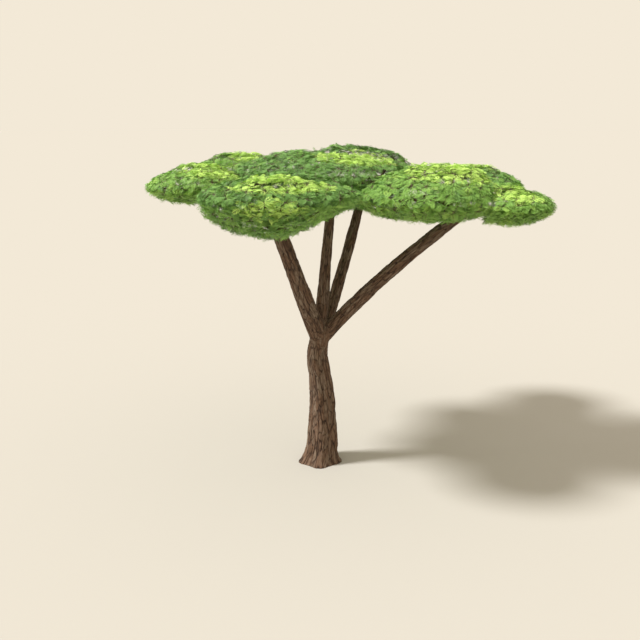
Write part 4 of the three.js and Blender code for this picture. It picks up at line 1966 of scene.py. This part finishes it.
        for kind in Tone:
            chosen = kept & (tone == kind.value)
            if not chosen.any():
                continue
            points = mesh_object("leaf_points", feet[chosen], [])
            for (name, data_type), values in zip(data_types.items(), (lean, face, size, form)):
                keep_on_points(points.data, name, data_type, values[chosen])
            name = f"leaves_{self.mass.name}_{kind.name.lower()}"
            piece = rule.apply(points, name, Forms=forms, Material=finishes[kind])
            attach(piece, "root")
            pieces.append(piece)
        return pieces


@dataclass
class Studio:
    """A pale floor that goes out to an even sky of its own colour, soft light and the camera.

    Attributes:
        backdrop: The screen colour that the floor and the sky show.
        floor_radius: How far the floor goes.
        sun_strength: The strength of the key light.
        sun_softness: The angle that the key light fills, in degrees.
        sun_place: The way to the key light.
        camera_place: Where the camera stands.
        camera_pitch: How far it looks down, in degrees.
        field_of_view: The angle that it sees, in degrees.
        sensor: The width of its sensor, in millimetres.
    """

    backdrop: int = 0xF3E9D7
    floor_radius: float = 600.0
    near_floor: float = 20.0
    floor_sides: int = 96
    sun_strength: float = 4.5
    sun_softness: float = 10.0
    sun_place: tuple = (-0.88, -0.12, 1.0)
    camera_place: tuple = (0.0, -16.8, 7.73)
    camera_pitch: float = 14.5
    field_of_view: float = 45.0
    sensor: float = 36.0

    def build(self) -> None:
        """Builds the floor, the light and the camera."""
        self.floor()
        self.light()
        self.camera()

    def floor(self) -> None:
        """Makes a round floor whose paint, in this light, shows the colour of the backdrop."""
        sides = self.floor_sides
        turns = np.linspace(0, 2 * math.pi, sides, endpoint=False)
        rim = np.column_stack([np.cos(turns), np.sin(turns), np.zeros(sides)])
        rings = [rim * radius for radius in (self.near_floor, self.floor_radius)]
        faces = [tuple(range(sides))]
        faces += [(i, sides + i, sides + (i + 1) % sides, (i + 1) % sides) for i in range(sides)]
        floor = mesh_object("studio_floor", np.concatenate(rings), faces)
        sky = np.array(linear(self.backdrop)[:3])
        sun = self.sun_strength * Vector(self.sun_place).normalized().z / math.pi
        paint = Paint("studio_paint", 1.0, 0.0)
        paint.colour((*(sky / (sky + sun)), 1.0))
        floor.data.materials.append(paint.material)

    def light(self) -> None:
        """Sets a broad key light and an even sky."""
        scene = bpy.context.scene
        scene.view_settings.view_transform = "Standard"
        world = bpy.data.worlds.new("studio_sky")
        world.use_nodes = True
        world.node_tree.nodes["Background"].inputs["Color"].default_value = linear(self.backdrop)
        scene.world = world
        sun = bpy.data.lights.new("key_sun", "SUN")
        sun.energy = self.sun_strength
        sun.angle = math.radians(self.sun_softness)
        key = bpy.data.objects.new("key_sun", sun)
        key.rotation_euler = Vector(self.sun_place).to_track_quat("Z", "Y").to_euler()
        scene.collection.objects.link(key)

    def camera(self) -> None:
        """Sets the camera in front of the tree, a little above its crown."""
        lens = bpy.data.cameras.new("camera")
        lens.sensor_width = self.sensor
        lens.lens = self.sensor / 2 / math.tan(math.radians(self.field_of_view / 2))
        lens.clip_end = 2 * self.floor_radius
        camera = bpy.data.objects.new("camera", lens)
        camera.location = self.camera_place
        camera.rotation_euler = (math.radians(90 - self.camera_pitch), 0, 0)
        bpy.context.scene.collection.objects.link(camera)
        bpy.context.scene.camera = camera


def boughs_and_limbs() -> list:
    """Gives the boughs and limbs of the tree, each after what carries it.

    Returns:
        The limbs, each with name, carrier, tip, knee out and up, and radii at its foot and end.
    """
    return [
        Limb("bough_front_left", "trunk", (-0.83, -1.4, 5.62), 0.52, 0.5, 0.212, 0.148),
        Limb("bough_centre", "trunk", (0.225, 0.42, 5.7), 0.42, 0.5, 0.156, 0.104),
        Limb("bough_back", "trunk", (0.96, 2.06, 5.73), 0.55, 0.44, 0.15, 0.112),
        Limb("bough_right", "trunk", (2.96, -0.42, 5.77), 0.45, 0.55, 0.174, 0.124),
        Limb("limb_far_left", "bough_front_left", (-2.23, -0.33, 6.03), 0.5, 0.62, 0.084, 0.052),
        Limb("limb_back_left", "bough_centre", (-1.5, 1.5, 6.16), 0.5, 0.62, 0.08, 0.054),
        Limb("limb_back_right", "bough_back", (2.78, 1.26, 6.03), 0.5, 0.62, 0.082, 0.054),
        Limb("limb_far_right", "bough_right", (3.56, -0.72, 5.89), 0.5, 0.5, 0.076, 0.052),
    ]


def masses_of_foliage() -> list:
    """Gives the masses of foliage with their spaces."""
    return [
        Mass(
            name="front_left", carrier="bough_front_left", middle=(-0.78, -1.65, 6.29),
            long=1.64, wide=1.42, rise=0.39, drop=0.89, stem=0.098, sprays=72, tone=Tone.DARK,
            cushions=[Cushion(0.2, 0.25, 1.0, 0.48, 0.11), Cushion(-0.09, -0.58, 0.62, 0.42, 0.11)],
            tufts=[
                Tuft((0.1, -0.75, 0.36), (1.15, 0.61, 0.24)),
                Tuft((-0.12, -1.25, -0.11), (0.62, 0.5, 0.17)),
            ],
            # Painted light lifts this mass's shaded underside the most.
            under_tilt=0.65, painted_light_below=0.7,
        ),
        Mass(
            name="far_left", carrier="limb_far_left", middle=(-2.64, 0.02, 6.34),
            long=1.11, wide=1.18, rise=0.42, drop=0.4, stem=0.048, sprays=38, tone=Tone.MID,
            cushions=[Cushion(0.1, 0.32, 0.76, 0.48, 0.11)],
            tufts=[Tuft((0.37, -0.2, 0.42), (0.72, 0.75, 0.3))],
        ),
        Mass(
            name="back_left", carrier="limb_back_left", middle=(-1.76, 1.7, 6.52),
            long=1.33, wide=1.28, rise=0.44, drop=0.45, stem=0.05, sprays=50, tone=Tone.MID,
            cushions=[Cushion(-0.18, 0.12, 0.7, 0.56, 0.09)],
            tufts=[Tuft((0.16, -0.2, 0.44), (0.5, 0.7, 0.25))],
        ),
        Mass(
            name="centre", carrier="bough_centre", middle=(0.11, 0.9, 6.48),
            long=2.2, wide=1.9, rise=0.61, drop=0.77, stem=0.096, sprays=114, tone=Tone.DARK,
            cushions=[Cushion(1.0, 0.48, 1.15, 0.7, 0.16), Cushion(-0.7, -0.19, 0.62, 0.48, 0.06)],
            tufts=[Tuft((0.72, -0.8, 0.55), (1.0, 0.7, 0.32))],
        ),
        Mass(
            name="right", carrier="bough_right", middle=(2.3, -0.56, 6.11),
            long=1.62, wide=1.48, rise=0.7, drop=0.47, stem=0.08, sprays=70, tone=Tone.MID,
            cushions=[Cushion(0.3, -0.01, 1.06, 0.7, 0.11)],
            tufts=[Tuft((0.37, -0.4, 0.62), (1.03, 0.8, 0.32))],
        ),
        Mass(
            name="far_right", carrier="limb_far_right", middle=(3.85, -0.8, 6.02),
            long=1.0, wide=1.05, rise=0.38, drop=0.43, stem=0.046, sprays=42, tone=Tone.MID,
            cushions=[Cushion(-0.08, 0.07, 0.52, 0.43, 0.12)],
            tufts=[Tuft((0.04, -0.45, 0.32), (0.46, 0.52, 0.3))],
        ),
        Mass(
            name="back_right", carrier="limb_back_right", middle=(3.4, 0.9, 6.29),
            long=1.18, wide=1.25, rise=0.42, drop=0.41, stem=0.05, sprays=44, tone=Tone.DARK,
            cushions=[Cushion(0.1, 0.21, 0.66, 0.52, 0.09)],
            tufts=[Tuft((0.1, 0.35, 0.45), (0.66, 0.5, 0.25))],
        ),
        Mass(
            name="back", carrier="bough_back", middle=(1.0, 2.9, 6.31),
            long=1.59, wide=1.3, rise=0.47, drop=0.45, stem=0.074, sprays=56, tone=Tone.DARK,
            cushions=[Cushion(-0.25, 0.2, 0.76, 0.52, 0.1)],
            tufts=[Tuft((-0.25, 0.25, 0.48), (0.8, 0.6, 0.25))],
        ),
    ]


def leaf_finishes() -> list:
    """Gives the greens of the leaves."""
    return [
        LeafFinish(Tone.DEEP, 0x597F40),
        LeafFinish(Tone.DARK, 0x76A151),
        LeafFinish(Tone.MID, 0x88B354),
        LeafFinish(Tone.FRESH, 0x9CC25A),
        # The palest green, painted sunlight on the tufts.
        LeafFinish(Tone.YOUNG, 0xBFE070),
    ]


def triangles(piece: Object) -> int:
    """Counts a piece's triangles."""
    return sum(len(face.vertices) - 2 for face in piece.data.polygons)


def report(piece: Object) -> None:
    """Logs a piece's name and size."""
    LOG.info("%s: %d triangles", piece.name, triangles(piece))


def main() -> None:
    """Builds the tree's pieces in order, from the bark to the leaves."""
    logging.basicConfig(level=logging.INFO, format="%(message)s")
    Studio().build()
    skeleton = Skeleton(Trunk(), boughs_and_limbs(), masses_of_foliage())
    for piece in Bark(skeleton).build(BarkFinish().material()):
        report(piece)
    wood, scatter = twig_tree(), leaf_tree()
    twig_bark, thorn = TwigFinish().material(), ThornFinish().material()
    greens = {finish.tone: finish.material() for finish in leaf_finishes()}
    forms = LeafMaker().forms()
    grower = Grower(skeleton)
    for number, mass in enumerate(skeleton.masses):
        growth = grower.grow(mass, np.random.default_rng(number))
        foliage = Foliage(skeleton, mass, growth)
        report(foliage.wood(wood, twig_bark))
        report(foliage.thorns(wood, thorn, THORN_SEED + number))
        for piece in foliage.leaves(scatter, forms, greens, LEAF_SEED + number):
            report(piece)
    for leaf in list(forms.objects):
        bpy.data.objects.remove(leaf)
    bpy.data.collections.remove(forms)


if __name__ == "__main__":
    main()
